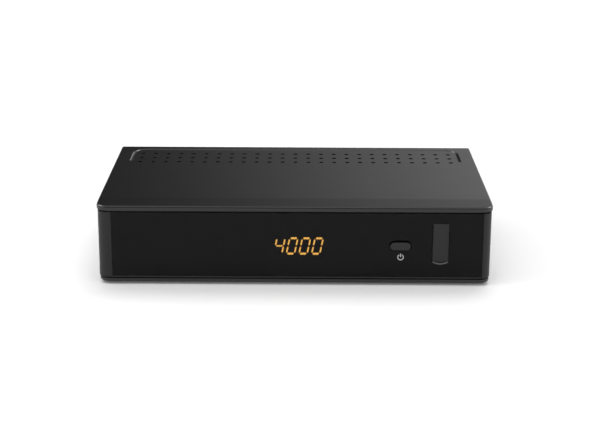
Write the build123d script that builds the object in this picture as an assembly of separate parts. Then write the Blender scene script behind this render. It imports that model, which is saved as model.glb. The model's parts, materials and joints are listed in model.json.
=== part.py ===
from build123d import *

import math
import os

# Satellite television receiver for a shelf: a moulded two-shell housing with a dark front
# window, a main board, a front board and a row of sockets in the rear panel.
# +X is to the right seen from the front, +Y to the back, +Z up, in millimetres.
# The origin is on the surface the feet stand on, midway between the lid's front edge and the
# ends of the aerial connectors.

# ---- Housing ----
body_width = 220.0
body_depth = 130.0
body_height = 45.1  # underside of the base to the top of the lid, without the feet
front_corner_radius = 6.5
rear_corner_cut = 1.2
lid_thickness = 2.2
lip_height = 3.3
lip_width = 1.2
lid_edge = 0.8
lid_overhang = 0.5
upper_shadow_gap = 0.5
frame_wall = 3.2
frame_return = 16.0  # how far the front frame runs back along each side
side_wall = 2.4
seam_gap = 0.3
base_floor = 2.0
rim_height = 2.7
rim_width = 1.3
rim_inset = 0.8
rim_edge = 0.8
lower_shadow_gap = 0.6
shadow_groove_depth = 1.2
fit_gap = 0.2
hidden_sides = 6  # round details inside the case
small_sides = 12  # small round details that show

# ---- Vent field and groove on the lid ----
vent_columns = 25
vent_rows = 3
vent_pitch_x = 7.9
vent_pitch_y = 9.6
vent_radius = 1.2
vent_sides = 6
vent_rear_margin = 16.1  # rear edge of the lid to the last row
groove_width = 1.2
groove_depth = 0.6
groove_side_margin = 8.6
groove_rear_margin = 7.4
groove_arm = 27.5
groove_corner_radius = 6.0

# ---- Side and floor slots ----
side_slot_count = 12
side_slot_pitch = 4.0
side_slot_width = 1.8
side_slot_height = 14.0
side_slot_rear_margin = 18.0
side_slot_drop = 15.1  # top of the lid to the middle of the slots
floor_slot_count = 13
floor_slot_pitch = 6.0
floor_slot_width = 2.0
floor_slot_length = 26.0
floor_slot_setback = 66.0

# ---- Feet and case screws ----
foot_height = 1.4
foot_recess = 0.6
foot_radius = 6.0
foot_edge = 0.5
foot_sides = 12
foot_side_margin = 18.0
foot_end_margin = 18.0
post_side_margin = 7.5  # side edge of the lid to the middle of a screw post
front_post_setback = 24.0
rear_post_margin = 22.0
post_radius = 4.3
post_split_rise = 24.6  # meeting plane of base posts and lid bosses above the base
lid_boss_radius = 3.6
case_screw_radius = 1.5
case_screw_length = 12.0
case_head_radius = 2.8
case_head_height = 2.0
post_floor = 4.0  # plastic left between the screw head and the meeting plane
hole_gap = 0.2
thread_gap = 0.05
retainer_height = 2.6
tab_length = 12.0
tab_width = 1.4
tab_drop = 4.0
tab_margins = (34.0, 80.0)  # rear edge of the lid to the side tabs

# ---- Front window and display ----
window_thickness = 1.2
window_gap = 0.1
window_edge = 0.2
window_sill = 0.6  # front frame left showing below the window
display_x = 2.4
display_rise = -0.6  # from the middle height of the front
display_width = 30.4
display_height = 14.2
display_depth = 8.0
display_gap = 0.3
digit_count = 4
digit_pitch = 6.93
digit_width = 3.6  # between the middles of the upright bars
digit_height = 9.2  # between the middles of the top and bottom bars
bar_width = 1.25
bar_gap = 0.12
bar_relief = 0.15
digit_slant = 10.0
shown_bars = ["bcfg", "abcdef", "abcdef", "abcdef"]
receiver_x = -42.0
receiver_radius = 2.6
receiver_depth = 6.2

# ---- Power button ----
button_port_pitch = 22.3
button_rise = -0.6
button_length = 11.8
button_height = 4.9
button_stand_out = 0.4
button_gap = 0.4
button_flange = 1.2
button_flange_thickness = 0.8
button_edge = 0.5
button_travel = 0.5
button_stem_radius = 1.6
switch_size = 6.0
switch_body_depth = 3.3
plunger_radius = 1.75
plunger_stand_out = 1.0
plunger_depth = 1.6
plunger_gap = 0.2

# ---- Port flap ----
port_side_margin = 28.8  # side edge of the lid to the middle of the port
port_rise = 1.4
port_width = 9.2
port_height = 22.4
port_scoop = 1.4  # depth of the thumb scoop below the port
flap_gap = 0.3
flap_thickness = 1.1
hinge_setback = 0.75  # hinge axis behind the back of the window
pin_radius = 0.5
pin_bearing = 2.0  # length of pin held at each side of the flap
pin_gap = 0.05
rest_gap = 0.05

# ---- Front board ----
front_board_thickness = 1.2
front_board_left = -58.0
front_board_side_margin = 12.0
front_board_low_rise = 7.0
front_board_top_drop = 5.3
front_screw_inset = 4.0
front_screw_button_pitch = 20.9
front_boss_radius = 2.6
small_screw_radius = 1.0
small_screw_length = 5.0
small_head_radius = 1.9
small_head_height = 1.2

# ---- Front data socket ----
data_width = 5.7
data_height = 13.1
data_depth = 14.0
data_wall = 0.35
data_corner = 0.4
data_setback = 0.2
tongue_thickness = 1.8
tongue_back = 2.5

# ---- Main board and what stands on it ----
board_thickness = 1.6
board_rise = 4.6  # post height above the floor
board_side_gap = 2.2
board_front_setback = 22.0
board_rear_gap = 0.6
board_post_radius = 3.2
board_screw_inset = 6.0
board_screw_setback = (28.0, 100.0)
board_head_radius = 2.6
board_head_height = 1.8
board_screw_length = 6.0
processor_x = -6.0
processor_setback = 70.0
processor_size = 23.0
processor_height = 1.6
sink_size = 28.0
sink_base = 2.0
sink_height = 9.0
fin_count = 7
fin_thickness = 1.2
memory_size = (11.0, 9.0, 1.1)
memory_places = ((24.0, 62.0), (24.0, 78.0))  # X and setback from the front
flash_size = (12.0, 18.0, 1.1)
flash_place = (-34.0, 66.0)
crystal_size = (11.0, 4.4, 3.4)
crystal_place = (-6.0, 48.0)
regulator_size = (6.5, 6.2, 2.3)
regulator_insets = ((26.0, 66.0), (44.0, 84.0), (66.0, 48.0))  # left edge of the board, setback
coil_size = 9.0
coil_height = 4.2
coil_insets = ((12.0, 66.0), (26.0, 80.0), (38.0, 66.0))
capacitor_radius = 4.0
capacitor_height = 12.0
capacitor_insets = ((12.0, 82.0), (12.0, 94.0), (26.0, 94.0), (56.0, 96.0), (46.0, 44.0))

# ---- Smart-card reader ----
card_width = 54.6
card_slot_height = 1.4
reader_width = 60.0
reader_length = 59.1
reader_wall_gap = 2.0
reader_screw_gap = 4.0
reader_height = 4.4
reader_setback = 62.0  # lid's front edge to the middle of the card
reader_cover_thickness = 0.4
reader_cover_inset = 2.0
reader_cover_window = 30.0
card_entry_height = 2.8
card_entry_margin = 1.4
card_flare = 1.5

# ---- Ribbon cable ----
ribbon_x = -24.0
ribbon_width = 14.0
ribbon_thickness = 0.4
ribbon_bend = 6.0
ribbon_rise = 22.0
ribbon_setback = 36.0
header_length = 17.0
header_depth = 3.4
header_height = 5.4

# ---- Rear panel ----
panel_thickness = 1.0
panel_recess = 2.4  # rear edge of the lid to the outside of the panel
channel_lip = 3.2
channel_wall = 1.2
cutout_gap = 0.3
panel_screw_inset = 11.0
panel_screw_drop = 6.9  # underside of the lid to the middle of the screws
panel_screw_radius = 1.5
panel_screw_length = 6.0
panel_boss_size = 9.0
panel_boss_depth = 8.0
socket_row_gap = 2.0  # screw post to the first and last socket

# ---- Aerial connectors on their shielded tuner ----
connector_pitch = 20.0
connector_rise = 8.5  # axis above the board
barrel_radius = 4.72
barrel_relief = 0.35
barrel_relief_width = 0.7
barrel_bore = 3.4
barrel_stand_out = 12.0  # beyond the outside of the panel
core_hole_radius = 0.6
core_recess = 0.8
core_floor = 3.0
washer_radius = 6.5
washer_thickness = 0.6
nut_across_flats = 11.0
nut_thickness = 2.2
tuner_margin = 10.0
tuner_depth = 30.0
tuner_height = 15.5
tuner_gap = 0.3
tuner_lid = 0.8
tuner_lid_inset = 0.6

# ---- Network socket ----
network_width = 16.2
network_height = 13.6
network_depth = 21.0
network_wall = 0.5
network_insert_setback = 0.3
network_cavity_width = 11.8
network_cavity_height = 8.3
network_cavity_depth = 13.5
network_latch_width = 6.0
network_latch_height = 1.8
contact_count = 8
contact_pitch = 1.02
contact_width = 0.4
contact_drop = 2.2
socket_stand_out = 0.6

# ---- Digital video socket ----
video_width = 15.0
video_height = 5.8
video_depth = 11.5
video_wall = 0.4
video_chamfer = 1.8
video_tongue_thickness = 1.2
video_tongue_margin = 2.2
video_back = 3.0

# ---- Analogue audio and video socket ----
av_width = 47.0
av_height = 20.4
av_depth = 19.0
av_channel_width = 43.4
av_channel_height = 15.6
av_channel = 1.6
av_channel_depth = 12.0
av_slant = 4.0
av_slot_columns = 10
av_slot_pitch = 3.81
av_slot_width = 1.0
av_slot_height = 3.6
av_slot_depth = 9.0
av_row_rise = 3.0
av_row_shift = 1.9
av_contact_thickness = 0.5
av_contact_height = 2.4
av_contact_length = 8.0

# ---- Digital audio jack ----
audio_rise = 7.5
audio_width = 10.4
audio_height = 13.0
audio_depth = 10.0
audio_barrel_radius = 4.15
audio_barrel_wall = 0.5
audio_stand_out = 8.5
audio_hole_radius = 1.6
audio_core_recess = 0.5
audio_nose_radius = 5.0
audio_nose_stand_out = 0.8

# ---- Power rocker ----
rocker_body_width = 19.4
rocker_body_height = 13.0
rocker_body_depth = 15.0
rocker_bezel = 0.9
rocker_reach = 7.6  # hinge axis to either end of the rocker
rocker_height = 9.6
rocker_gap = 0.3
rocker_axis_depth = 3.4  # hinge axis inside the bezel's face
rocker_crown = 3.0
rocker_tilt = 9.0
rocker_heel = 2.0
rocker_pin_radius = 1.0
rocker_pin_length = 1.1
rocker_pin_gap = 0.06

# ---- Power inlet ----
inlet_rise = 6.2
inlet_width = 9.0
inlet_height = 11.0
inlet_depth = 14.0
inlet_bore = 3.1
inlet_bore_depth = 9.5
inlet_pin_radius = 1.0
inlet_pin_length = 9.0
inlet_nose = 0.5

# ---- Levels that follow ----
base_z = foot_height
floor_z = base_z + base_floor
rim_z = base_z + rim_height
wall_low_z = rim_z + lower_shadow_gap
lid_z = base_z + body_height
plate_z = lid_z - lid_thickness
lip_z = lid_z - lip_height
wall_high_z = lip_z - upper_shadow_gap
middle_z = (wall_low_z + wall_high_z) / 2
window_low_z = wall_low_z + window_sill
post_split_z = base_z + post_split_rise
board_z = floor_z + board_rise
board_top_z = board_z + board_thickness

front_y = -(body_depth + barrel_stand_out - panel_recess) / 2
rear_y = front_y + body_depth
face_y = front_y + lid_overhang
window_back_y = face_y + window_thickness
frame_back_y = face_y + frame_wall
seam_y = front_y + frame_return
display_face_y = window_back_y + display_gap
front_board_y = display_face_y + display_depth
front_board_back_y = front_board_y + front_board_thickness
panel_outer_y = rear_y - panel_recess
panel_inner_y = panel_outer_y - panel_thickness
socket_face_y = panel_outer_y + socket_stand_out

half_width = body_width / 2
tuner_width = connector_pitch + 2 * tuner_margin
frame_inset = lid_overhang + frame_wall
side_inset = lid_overhang + side_wall
side_inner_x = half_width - side_inset
window_width = body_width - 2 * front_corner_radius
post_x = half_width - post_side_margin
port_x = half_width - port_side_margin
button_x = port_x - button_port_pitch
front_board_right = half_width - front_board_side_margin
board_half_width = post_x - post_radius - board_side_gap
reader_right = side_inner_x - reader_wall_gap
reader_left = reader_right - reader_length
connector_z = board_top_z + connector_rise
audio_z = board_top_z + audio_rise
inlet_z = board_top_z + inlet_rise
display_z = middle_z + display_rise
button_z = middle_z + button_rise
port_z = middle_z + port_rise
panel_screw_z = plate_z - panel_screw_drop
front_board_low_z = base_z + front_board_low_rise
front_board_high_z = wall_high_z - front_board_top_drop
far = 2 * body_width

# ---- Row of sockets, evenly spaced between the rear screw posts, from +X to -X ----
socket_widths = [tuner_width, network_width, video_width, av_width, audio_width]
socket_widths += [rocker_body_width, inlet_width]
row_reach = post_x - post_radius - socket_row_gap
row_gap = (2 * row_reach - sum(socket_widths)) / (len(socket_widths) - 1)
socket_x = [
    row_reach - sum(socket_widths[:place]) - place * row_gap - width / 2
    for place, width in enumerate(socket_widths)
]
tuner_x, network_x, video_x, av_x, audio_x, rocker_x, inlet_x = socket_x
dish_input_x = tuner_x + connector_pitch / 2
dish_loop_x = tuner_x - connector_pitch / 2


# ---- Small helpers ----
def span(centre, size):
    """Low and high ends of a size placed about a centre."""
    return centre - size / 2, centre + size / 2


def block(x_span, y_span, z_span):
    """Rectangular solid between three pairs of ends."""
    spans = (x_span, y_span, z_span)
    centre = [(low + high) / 2 for low, high in spans]
    return Pos(*centre) * Box(*[high - low for low, high in spans])


def along_x(sketch, x_low, x_high):
    """Extrudes a sketch drawn in Y and Z between two places on X."""
    return extrude(Plane.YZ.offset(x_low) * sketch, amount=x_high - x_low)


def along_y(sketch, y_low, y_high):
    """Extrudes a sketch drawn in X and Z between two places on Y."""
    return extrude(Plane.XZ.offset(-y_high) * sketch, amount=y_high - y_low)


def along_z(sketch, z_low, z_high):
    """Extrudes a sketch drawn in X and Y between two heights."""
    return extrude(Plane.XY.offset(z_low) * sketch, amount=z_high - z_low)


def disc(across, up, radius):
    """Round sketch at a place of the drawing plane."""
    return Pos(across, up) * Circle(radius)


def facets(across, up, radius, sides=hidden_sides):
    """Round outline of a small or hidden detail, drawn with few sides inside the radius."""
    return Pos(across, up) * RegularPolygon(radius, sides)


def around(across, up, radius, sides=hidden_sides):
    """Outline of a hole for such a detail: its flats lie on the radius."""
    return Pos(across, up) * RegularPolygon(radius, sides, major_radius=False)


def oblong(length, width):
    """Long outline whose corners are cut off, in place of a slot's round ends."""
    return chamfer(Rectangle(length, width).vertices(), width * 0.3)


def group(pieces):
    """Separate solids kept together in one node."""
    return Compound([solid for piece in pieces for solid in piece.solids()])


def screw(head_radius, head_height, shank_radius, length, sides=hidden_sides):
    """Slotted pan-head screw standing head down, with the seat of its head at height 0."""
    head = along_z(facets(0, 0, head_radius, sides), -head_height, 0)
    head = chamfer(head.faces().sort_by(Axis.Z)[0].edges(), head_height / 3)
    recess = Pos(0, 0, -head_height) * Box(head_radius, head_height / 3, head_height)
    return head + along_z(facets(0, 0, shank_radius), 0, length) - recess


# ---- Housing ----
def plan(inset):
    """Outline of the housing from above, drawn in from the lid's edge."""
    width, depth = body_width - 2 * inset, body_depth - 2 * inset
    outline = Pos(0, (front_y + rear_y) / 2) * Rectangle(width, depth)
    outline = fillet(outline.vertices().group_by(Axis.Y)[0], front_corner_radius - inset)
    return chamfer(outline.vertices().group_by(Axis.Y)[-1], max(rear_corner_cut - inset / 2, 0.3))


def band(outer, inner, z_low, z_high):
    """Upright wall between two insets from the lid's edge."""
    return along_z(plan(outer) - plan(inner), z_low, z_high)


def post_places():
    """Middles of the four case screws."""
    rows = (front_y + front_post_setback, rear_y - rear_post_margin)
    return [(x, y) for x in (-post_x, post_x) for y in rows]


def foot_places():
    """Middles of the four feet."""
    x = half_width - foot_side_margin
    rows = (front_y + foot_end_margin, rear_y - foot_end_margin)
    return [(side * x, y) for side in (-1, 1) for y in rows]


def make_groove():
    """U-shaped groove around the back of the vent field."""
    x = half_width - groove_side_margin
    y = rear_y - groove_rear_margin
    tip = y - groove_arm
    path = FilletPolyline((-x, tip), (-x, y), (x, y), (x, tip), radius=groove_corner_radius)
    return along_z(trace(path, line_width=groove_width), lid_z - groove_depth, lid_z + 1)


def make_vents():
    """Field of round vents through the lid."""
    y = rear_y - vent_rear_margin - vent_pitch_y * (vent_rows - 1) / 2
    grid = GridLocations(vent_pitch_x, vent_pitch_y, vent_columns, vent_rows)
    field = Sketch() + [Pos(0, y) * place * facets(0, 0, vent_radius, vent_sides) for place in grid]
    return along_z(field, plate_z - 1, lid_z + 1)


def lid_tabs():
    """Locating tabs that hang inside the tops of the walls."""
    z = (plate_z - tab_drop, plate_z)
    tabs = []
    for side in (-1, 1):
        outer = side_inner_x - fit_gap
        x = sorted((side * outer, side * (outer - tab_width)))
        tabs += [block(x, span(rear_y - back, tab_length), z) for back in tab_margins]
        y = front_y + frame_inset + fit_gap
        tabs.append(block(span(side * body_width / 4, tab_length), (y, y + tab_width), z))
    return tabs


def make_top_cover():
    cover = along_z(plan(0), plate_z, lid_z) + band(0, lip_width, lip_z, plate_z)
    top_edge = cover.faces().sort_by(Axis.Z)[-1].outer_wire().edges()
    cover = chamfer(top_edge, lid_edge)
    for x, y in post_places():
        cover += along_z(facets(x, y, lid_boss_radius), post_split_z, plate_z)
        pilot_top = post_split_z - post_floor + case_screw_length + 1
        pilot = around(x, y, case_screw_radius + thread_gap)
        cover -= along_z(pilot, post_split_z - 1, pilot_top)
    for tab in lid_tabs():
        cover += tab
    return cover - make_vents() - make_groove()


def side_slots(side):
    """Row of upright vents through one side wall, near the back."""
    row_length = side_slot_pitch * (side_slot_count - 1)
    middle = rear_y - side_slot_rear_margin - row_length / 2
    places = GridLocations(side_slot_pitch, 1, side_slot_count, 1)
    shape = Rectangle(side_slot_width, side_slot_height)
    row = Sketch() + [Pos(middle, lid_z - side_slot_drop) * place * shape for place in places]
    x_low, x_high = sorted((side * (side_inner_x - 1), side * (half_width + 1)))
    return along_x(row, x_low, x_high)


def floor_slots():
    """Row of slots through the floor under the processor."""
    places = GridLocations(floor_slot_pitch, 1, floor_slot_count, 1)
    shape = Rectangle(floor_slot_width, floor_slot_length)
    row = Sketch() + [Pos(processor_x, front_y + floor_slot_setback) * place * shape for place in places]
    return along_z(row, base_z - 1, floor_z + 1)


def card_entry():
    """Slot for the card through the right side wall, with a flared mouth."""
    y = front_y + reader_setback
    z = board_top_z + reader_height / 2
    length = card_width + 2 * card_entry_margin
    slot = Pos(y, z) * Rectangle(length, card_entry_height)
    mouth_x = half_width - lid_overhang
    wide = Pos(y, z) * Rectangle(length + 2 * card_flare, card_entry_height + 2 * card_flare)
    mouth = loft([Plane.YZ.offset(mouth_x) * wide, Plane.YZ.offset(mouth_x - card_flare) * slot])
    return along_x(slot, side_inner_x - 1, half_width + 1) + mouth


def panel_boss(side):
    """Boss in a rear corner that takes one screw of the rear panel."""
    x = sorted((side * side_inner_x, side * (half_width - panel_screw_inset - panel_boss_size / 2)))
    z = span(panel_screw_z, panel_boss_size)
    return block(x, (panel_inner_y - panel_boss_depth, panel_inner_y), z)


def panel_screw_places():
    x = half_width - panel_screw_inset
    return [(side * x, panel_screw_z) for side in (-1, 1)]


def wall_zone():
    """Space the base's side walls may fill: behind the front frame, beside the rear panel."""
    zone = block((-far, far), (seam_y + seam_gap, rear_y), (0, lid_z + far))
    opening = side_inner_x - channel_lip
    return zone - block((-opening, opening), (panel_inner_y, rear_y + 1), (0, lid_z + far))


def make_base_tray():
    tray = along_z(plan(rim_inset), base_z, floor_z)
    low_edge = tray.faces().sort_by(Axis.Z)[0].outer_wire().edges()
    tray = chamfer(low_edge, rim_edge)
    tray += band(rim_inset, rim_inset + rim_width, floor_z, rim_z)
    groove_inset = lid_overhang + shadow_groove_depth
    zone = wall_zone()
    walls = band(lid_overhang, side_inset, wall_low_z, wall_high_z) & zone
    tray += walls
    tray += band(groove_inset, side_inset, floor_z, wall_low_z) & zone
    tray += band(lip_width + fit_gap, side_inset, wall_high_z, plate_z) & zone
    panel_space = span(0, 2 * side_inner_x)
    tray -= block(panel_space, (panel_inner_y - fit_gap, panel_outer_y + fit_gap), (floor_z, lid_z))
    retainer = frame_inset + fit_gap
    front_zone = block((-far, far), (front_y, seam_y), (0, far))
    tray += band(retainer, retainer + channel_wall, floor_z, floor_z + retainer_height) & front_zone
    for side in (-1, 1):
        x = sorted((side * side_inner_x, side * (side_inner_x - channel_lip)))
        y_high = panel_inner_y - fit_gap
        tray += block(x, (y_high - channel_wall, y_high), (floor_z, wall_high_z))
        tray += panel_boss(side)
        tray -= side_slots(side)
    for x, y in post_places():
        tray += along_z(facets(x, y, post_radius, small_sides), floor_z, post_split_z)
        well = around(x, y, case_head_radius + hole_gap, small_sides)
        tray -= along_z(well, base_z - 1, post_split_z - post_floor)
        tray -= along_z(around(x, y, case_screw_radius + hole_gap), base_z, post_split_z + 1)
    for x, y in board_screw_places():
        tray += along_z(facets(x, y, board_post_radius), floor_z, board_z)
        tray -= along_z(around(x, y, case_screw_radius + thread_gap), floor_z, board_z + 1)
    for x, y in foot_places():
        recess = around(x, y, foot_radius + fit_gap, foot_sides)
        tray -= along_z(recess, base_z - 1, base_z + foot_recess)
    for x, z in panel_screw_places():
        pilot = around(x, z, panel_screw_radius + thread_gap)
        tray -= along_y(pilot, panel_inner_y - panel_screw_length, panel_inner_y + 1)
    return tray - floor_slots() - card_entry()


def make_feet():
    feet = []
    for x, y in foot_places():
        outline = around(x, y, foot_radius, foot_sides)
        foot = along_z(outline, 0, base_z + foot_recess)
        feet.append(chamfer(foot.faces().sort_by(Axis.Z)[0].edges(), foot_edge))
    return group(feet)


def make_case_screws():
    one = screw(case_head_radius, case_head_height, case_screw_radius, case_screw_length, small_sides)
    return group([Pos(x, y, post_split_z - post_floor) * one for x, y in post_places()])


# ---- Front ----
def button_outline(grow):
    """Rounded oblong of the power button, grown on every side."""
    shape = SlotOverall(button_length + 2 * grow, button_height + 2 * grow)
    return Pos(button_x, button_z) * shape


def port_outline():
    """Port opening with the shallow thumb scoop below it."""
    radius = ((port_width / 2) ** 2 + port_scoop**2) / (2 * port_scoop)
    low = port_z - port_height / 2
    scoop = disc(port_x, low + radius - port_scoop, radius)
    below = Pos(port_x, low - port_scoop) * Rectangle(port_width, 2 * port_scoop)
    return Pos(port_x, port_z) * Rectangle(port_width, port_height) + (scoop & below)


def hinge_line():
    """Place of the flap's hinge axis, as Y and Z."""
    y = window_back_y + hinge_setback
    return y, port_z + port_height / 2 - flap_gap - (y - face_y)


def make_window_panel():
    x = span(0, window_width - 2 * window_gap)
    window = block(x, (face_y, window_back_y), (window_low_z, wall_high_z))
    front = window.faces().sort_by(Axis.Y)[0].edges()
    window = chamfer(front, window_edge)
    window -= along_y(button_outline(button_gap), front_y - 1, window_back_y + 1)
    return window - along_y(port_outline(), front_y - 1, window_back_y + 1)


def front_screw_places():
    low, high = front_board_low_z + front_screw_inset, front_board_high_z - front_screw_inset
    left, right = front_board_left + front_screw_inset, front_board_right - front_screw_inset
    return [(left, high), (button_x - front_screw_button_pitch, low), (right, high)]


def make_front_frame():
    front_zone = block((-far, far), (front_y, seam_y), (0, far))
    frame = band(lid_overhang, frame_inset, wall_low_z, wall_high_z)
    frame += band(lip_width + fit_gap, frame_inset, wall_high_z, plate_z)
    frame += band(rim_inset + rim_width + fit_gap, frame_inset, floor_z, wall_low_z)
    frame = frame & front_zone
    pocket_z = (window_low_z - window_gap, wall_high_z)
    frame -= block(span(0, window_width), (front_y - 1, window_back_y), pocket_z)
    display = Rectangle(display_width + 2 * fit_gap, display_height + 2 * fit_gap)
    holes = Pos(display_x, display_z) * display
    button_hole = Rectangle(button_length + 2 * button_gap, button_height + 2 * button_gap)
    holes += Pos(button_x, button_z) * button_hole
    holes += around(receiver_x, display_z, receiver_radius + fit_gap, small_sides)
    data_hole = Rectangle(data_width + 2 * fit_gap, data_height + 2 * fit_gap)
    holes += Pos(port_x, port_z) * data_hole
    frame -= along_y(holes, front_y, frame_back_y + 1)
    for x, z in front_screw_places():
        frame += along_y(facets(x, z, front_boss_radius), frame_back_y, front_board_y)
        pilot = around(x, z, small_screw_radius + thread_gap)
        frame -= along_y(pilot, front_board_y - small_screw_length, front_board_y + 1)
    hinge_y, hinge_z = hinge_line()
    reach = hinge_y - face_y + flap_gap
    ear = port_width / 2 + pin_bearing
    bearing = pin_radius + pin_gap
    thick = hinge_y + bearing + 1
    frame += block(span(port_x, 2 * ear), (frame_back_y, thick), span(hinge_z, 2 * reach))
    frame -= block(span(port_x, port_width), (window_back_y, thick + 1), span(hinge_z, 2 * reach))
    pin_hole = around(hinge_y, hinge_z, bearing, small_sides)
    return frame - along_x(pin_hole, port_x - ear, port_x + ear)


def make_port_flap():
    hinge_y, hinge_z = hinge_line()
    x = span(port_x, port_width - 2 * flap_gap)
    low = port_z - port_height / 2 + flap_gap
    plate = block(x, (face_y, face_y + flap_thickness), (low, hinge_z))
    barrel = along_x(disc(hinge_y, hinge_z, hinge_y - face_y), *x)
    bore = along_x(disc(hinge_y, hinge_z, pin_radius + pin_gap), *x)
    return plate + barrel - bore


def make_flap_pin():
    ear = port_width / 2 + pin_bearing
    return along_x(disc(*hinge_line(), pin_radius), port_x - ear, port_x + ear)


def make_power_button():
    cap = along_y(button_outline(0), face_y - button_stand_out, frame_back_y + rest_gap)
    cap = chamfer(cap.faces().sort_by(Axis.Y)[0].edges(), button_edge)
    flange_y = frame_back_y + rest_gap
    plate = oblong(button_length + 2 * button_flange, button_height + 2 * button_flange)
    plate = Pos(button_x, button_z) * plate
    flange = along_y(plate, flange_y, flange_y + button_flange_thickness)
    tip_y = front_board_y - switch_body_depth - plunger_stand_out
    stem = along_y(facets(button_x, button_z, button_stem_radius), flange_y, tip_y)
    return cap + flange + stem


def make_button_switch_body():
    outline = Pos(button_x, button_z) * Rectangle(switch_size, switch_size)
    body = along_y(outline, front_board_y - switch_body_depth, front_board_y)
    well = around(button_x, button_z, plunger_radius + plunger_gap, small_sides)
    deep = plunger_depth + button_travel + plunger_gap
    top = front_board_y - switch_body_depth
    return body - along_y(well, top - 1, top + deep)


def make_button_switch_plunger():
    top = front_board_y - switch_body_depth
    outline = facets(button_x, button_z, plunger_radius, small_sides)
    return along_y(outline, top - plunger_stand_out, top + plunger_depth)


def bar_outline(length):
    """Pointed bar of a digit, lying along the first axis."""
    half, point = bar_width / 2, length / 2 - bar_gap
    shoulder = point - half
    corners = [(point, 0), (shoulder, half), (-shoulder, half), (-point, 0)]
    return corners + [(-shoulder, -half), (shoulder, -half)]


def digit_bars(digit, wanted):
    """Slanted bars of one digit, raised from the face of the display."""
    half_w, half_h = digit_width / 2, digit_height / 2
    places = {"a": (0, half_h, 0), "g": (0, 0, 0), "d": (0, -half_h, 0)}
    places |= {"b": (half_w, half_h / 2, 1), "c": (half_w, -half_h / 2, 1)}
    places |= {"f": (-half_w, half_h / 2, 1), "e": (-half_w, -half_h / 2, 1)}
    lean = math.tan(math.radians(digit_slant))
    middle = display_x + (digit - (digit_count - 1) / 2) * digit_pitch
    bars = []
    for name in wanted:
        x, z, upright = places[name]
        points = bar_outline(half_h if upright else digit_width)
        points = [(-v, u) if upright else (u, v) for u, v in points]
        points = [(middle + x + u + (z + v) * lean, display_z + z + v) for u, v in points]
        outline = make_face(Polyline(*points, close=True))
        bars.append(along_y(outline, display_face_y - bar_relief, display_face_y))
    return bars


def make_segments(lit):
    bars = []
    for digit, shown in enumerate(shown_bars):
        wanted = shown if lit else [name for name in "abcdefg" if name not in shown]
        bars += digit_bars(digit, wanted)
    return group(bars)


def make_display_module():
    outline = Pos(display_x, display_z) * Rectangle(display_width, display_height)
    module = along_y(outline, display_face_y, front_board_y)
    return chamfer(module.faces().sort_by(Axis.Y)[0].edges(), 0.3)


def make_infrared_receiver():
    body = Pos(receiver_x, display_z) * Rectangle(2 * receiver_radius + 1.6, 2 * receiver_radius + 2.4)
    back = along_y(body, frame_back_y + 1, front_board_y)
    outline = facets(receiver_x, display_z, receiver_radius, small_sides)
    lens = along_y(outline, front_board_y - receiver_depth, front_board_y)
    return back + chamfer(lens.faces().sort_by(Axis.Y)[0].edges(), receiver_radius / 3)


def make_front_board():
    z = (front_board_low_z, front_board_high_z)
    board = block((front_board_left, front_board_right), (front_board_y, front_board_back_y), z)
    data_hole = Rectangle(data_width + 2 * fit_gap, data_height + 2 * fit_gap)
    holes = Pos(port_x, port_z) * data_hole
    for x, z in front_screw_places():
        holes += around(x, z, small_screw_radius + hole_gap)
    return board - along_y(holes, front_board_y - 1, front_board_back_y + 1)


def make_front_board_screws():
    one = screw(small_head_radius, small_head_height, small_screw_radius, small_screw_length)
    return group([Pos(x, front_board_back_y, z) * Rot(90, 0, 0) * one for x, z in front_screw_places()])


def data_face_y():
    return frame_back_y - data_setback


def make_front_data_shell():
    """Upright plug-in socket of folded metal, with two ears that sit on the board."""
    y_low, y_high = data_face_y(), data_face_y() + data_depth
    outline = Pos(port_x, port_z) * chamfer(Rectangle(data_width, data_height).vertices(), data_corner)
    inner = Pos(port_x, port_z) * Rectangle(data_width - 2 * data_wall, data_height - 2 * data_wall)
    shell = along_y(outline, y_low, y_high)
    ears = Pos(port_x, port_z) * Rectangle(data_width + 4, data_height / 2)
    shell += along_y(ears, front_board_y - data_wall, front_board_y)
    return shell - along_y(inner, y_low - 1, y_high - data_wall)


def make_front_data_tongue():
    """Insulating block at the back of the socket, with the tongue that carries the contacts."""
    y_high = data_face_y() + data_depth - data_wall
    back = Rectangle(data_width - 2 * data_wall, data_height - 2 * data_wall)
    tongue = Pos(0.6, 0) * Rectangle(tongue_thickness, data_height - 2 * data_wall - 1.2)
    block_part = along_y(Pos(port_x, port_z) * back, y_high - tongue_back, y_high)
    return block_part + along_y(Pos(port_x, port_z) * tongue, data_face_y() + 1.0, y_high)


# ---- Ribbon between the boards ----
def ribbon_front_y():
    return front_board_back_y + header_depth


def make_ribbon_header_front():
    z = span(base_z + ribbon_rise, header_height)
    return block(span(ribbon_x, header_length), (front_board_back_y, ribbon_front_y()), z)


def make_ribbon_header_main():
    y = span(front_y + ribbon_setback, header_depth)
    return block(span(ribbon_x, header_length), y, (board_top_z, board_top_z + header_height))


def make_ribbon_cable():
    start = (ribbon_front_y(), base_z + ribbon_rise)
    corner = (front_y + ribbon_setback, base_z + ribbon_rise)
    end = (front_y + ribbon_setback, board_top_z + header_height)
    path = FilletPolyline(start, corner, end, radius=ribbon_bend)
    return along_x(trace(path, line_width=ribbon_thickness), *span(ribbon_x, ribbon_width))


# ---- Main board ----
def board_screw_places():
    """Middles of the four board screws, clear of the card reader on the right."""
    left, right = board_screw_inset - board_half_width, reader_left - reader_screw_gap
    return [(x, front_y + setback) for x in (left, right) for setback in board_screw_setback]


def make_main_board():
    y = (front_y + board_front_setback, panel_inner_y - board_rear_gap)
    board = block(span(0, 2 * board_half_width), y, (board_z, board_top_z))
    for x, y in board_screw_places():
        board -= along_z(around(x, y, case_screw_radius + hole_gap), board_z - 1, board_top_z + 1)
    return board


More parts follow.
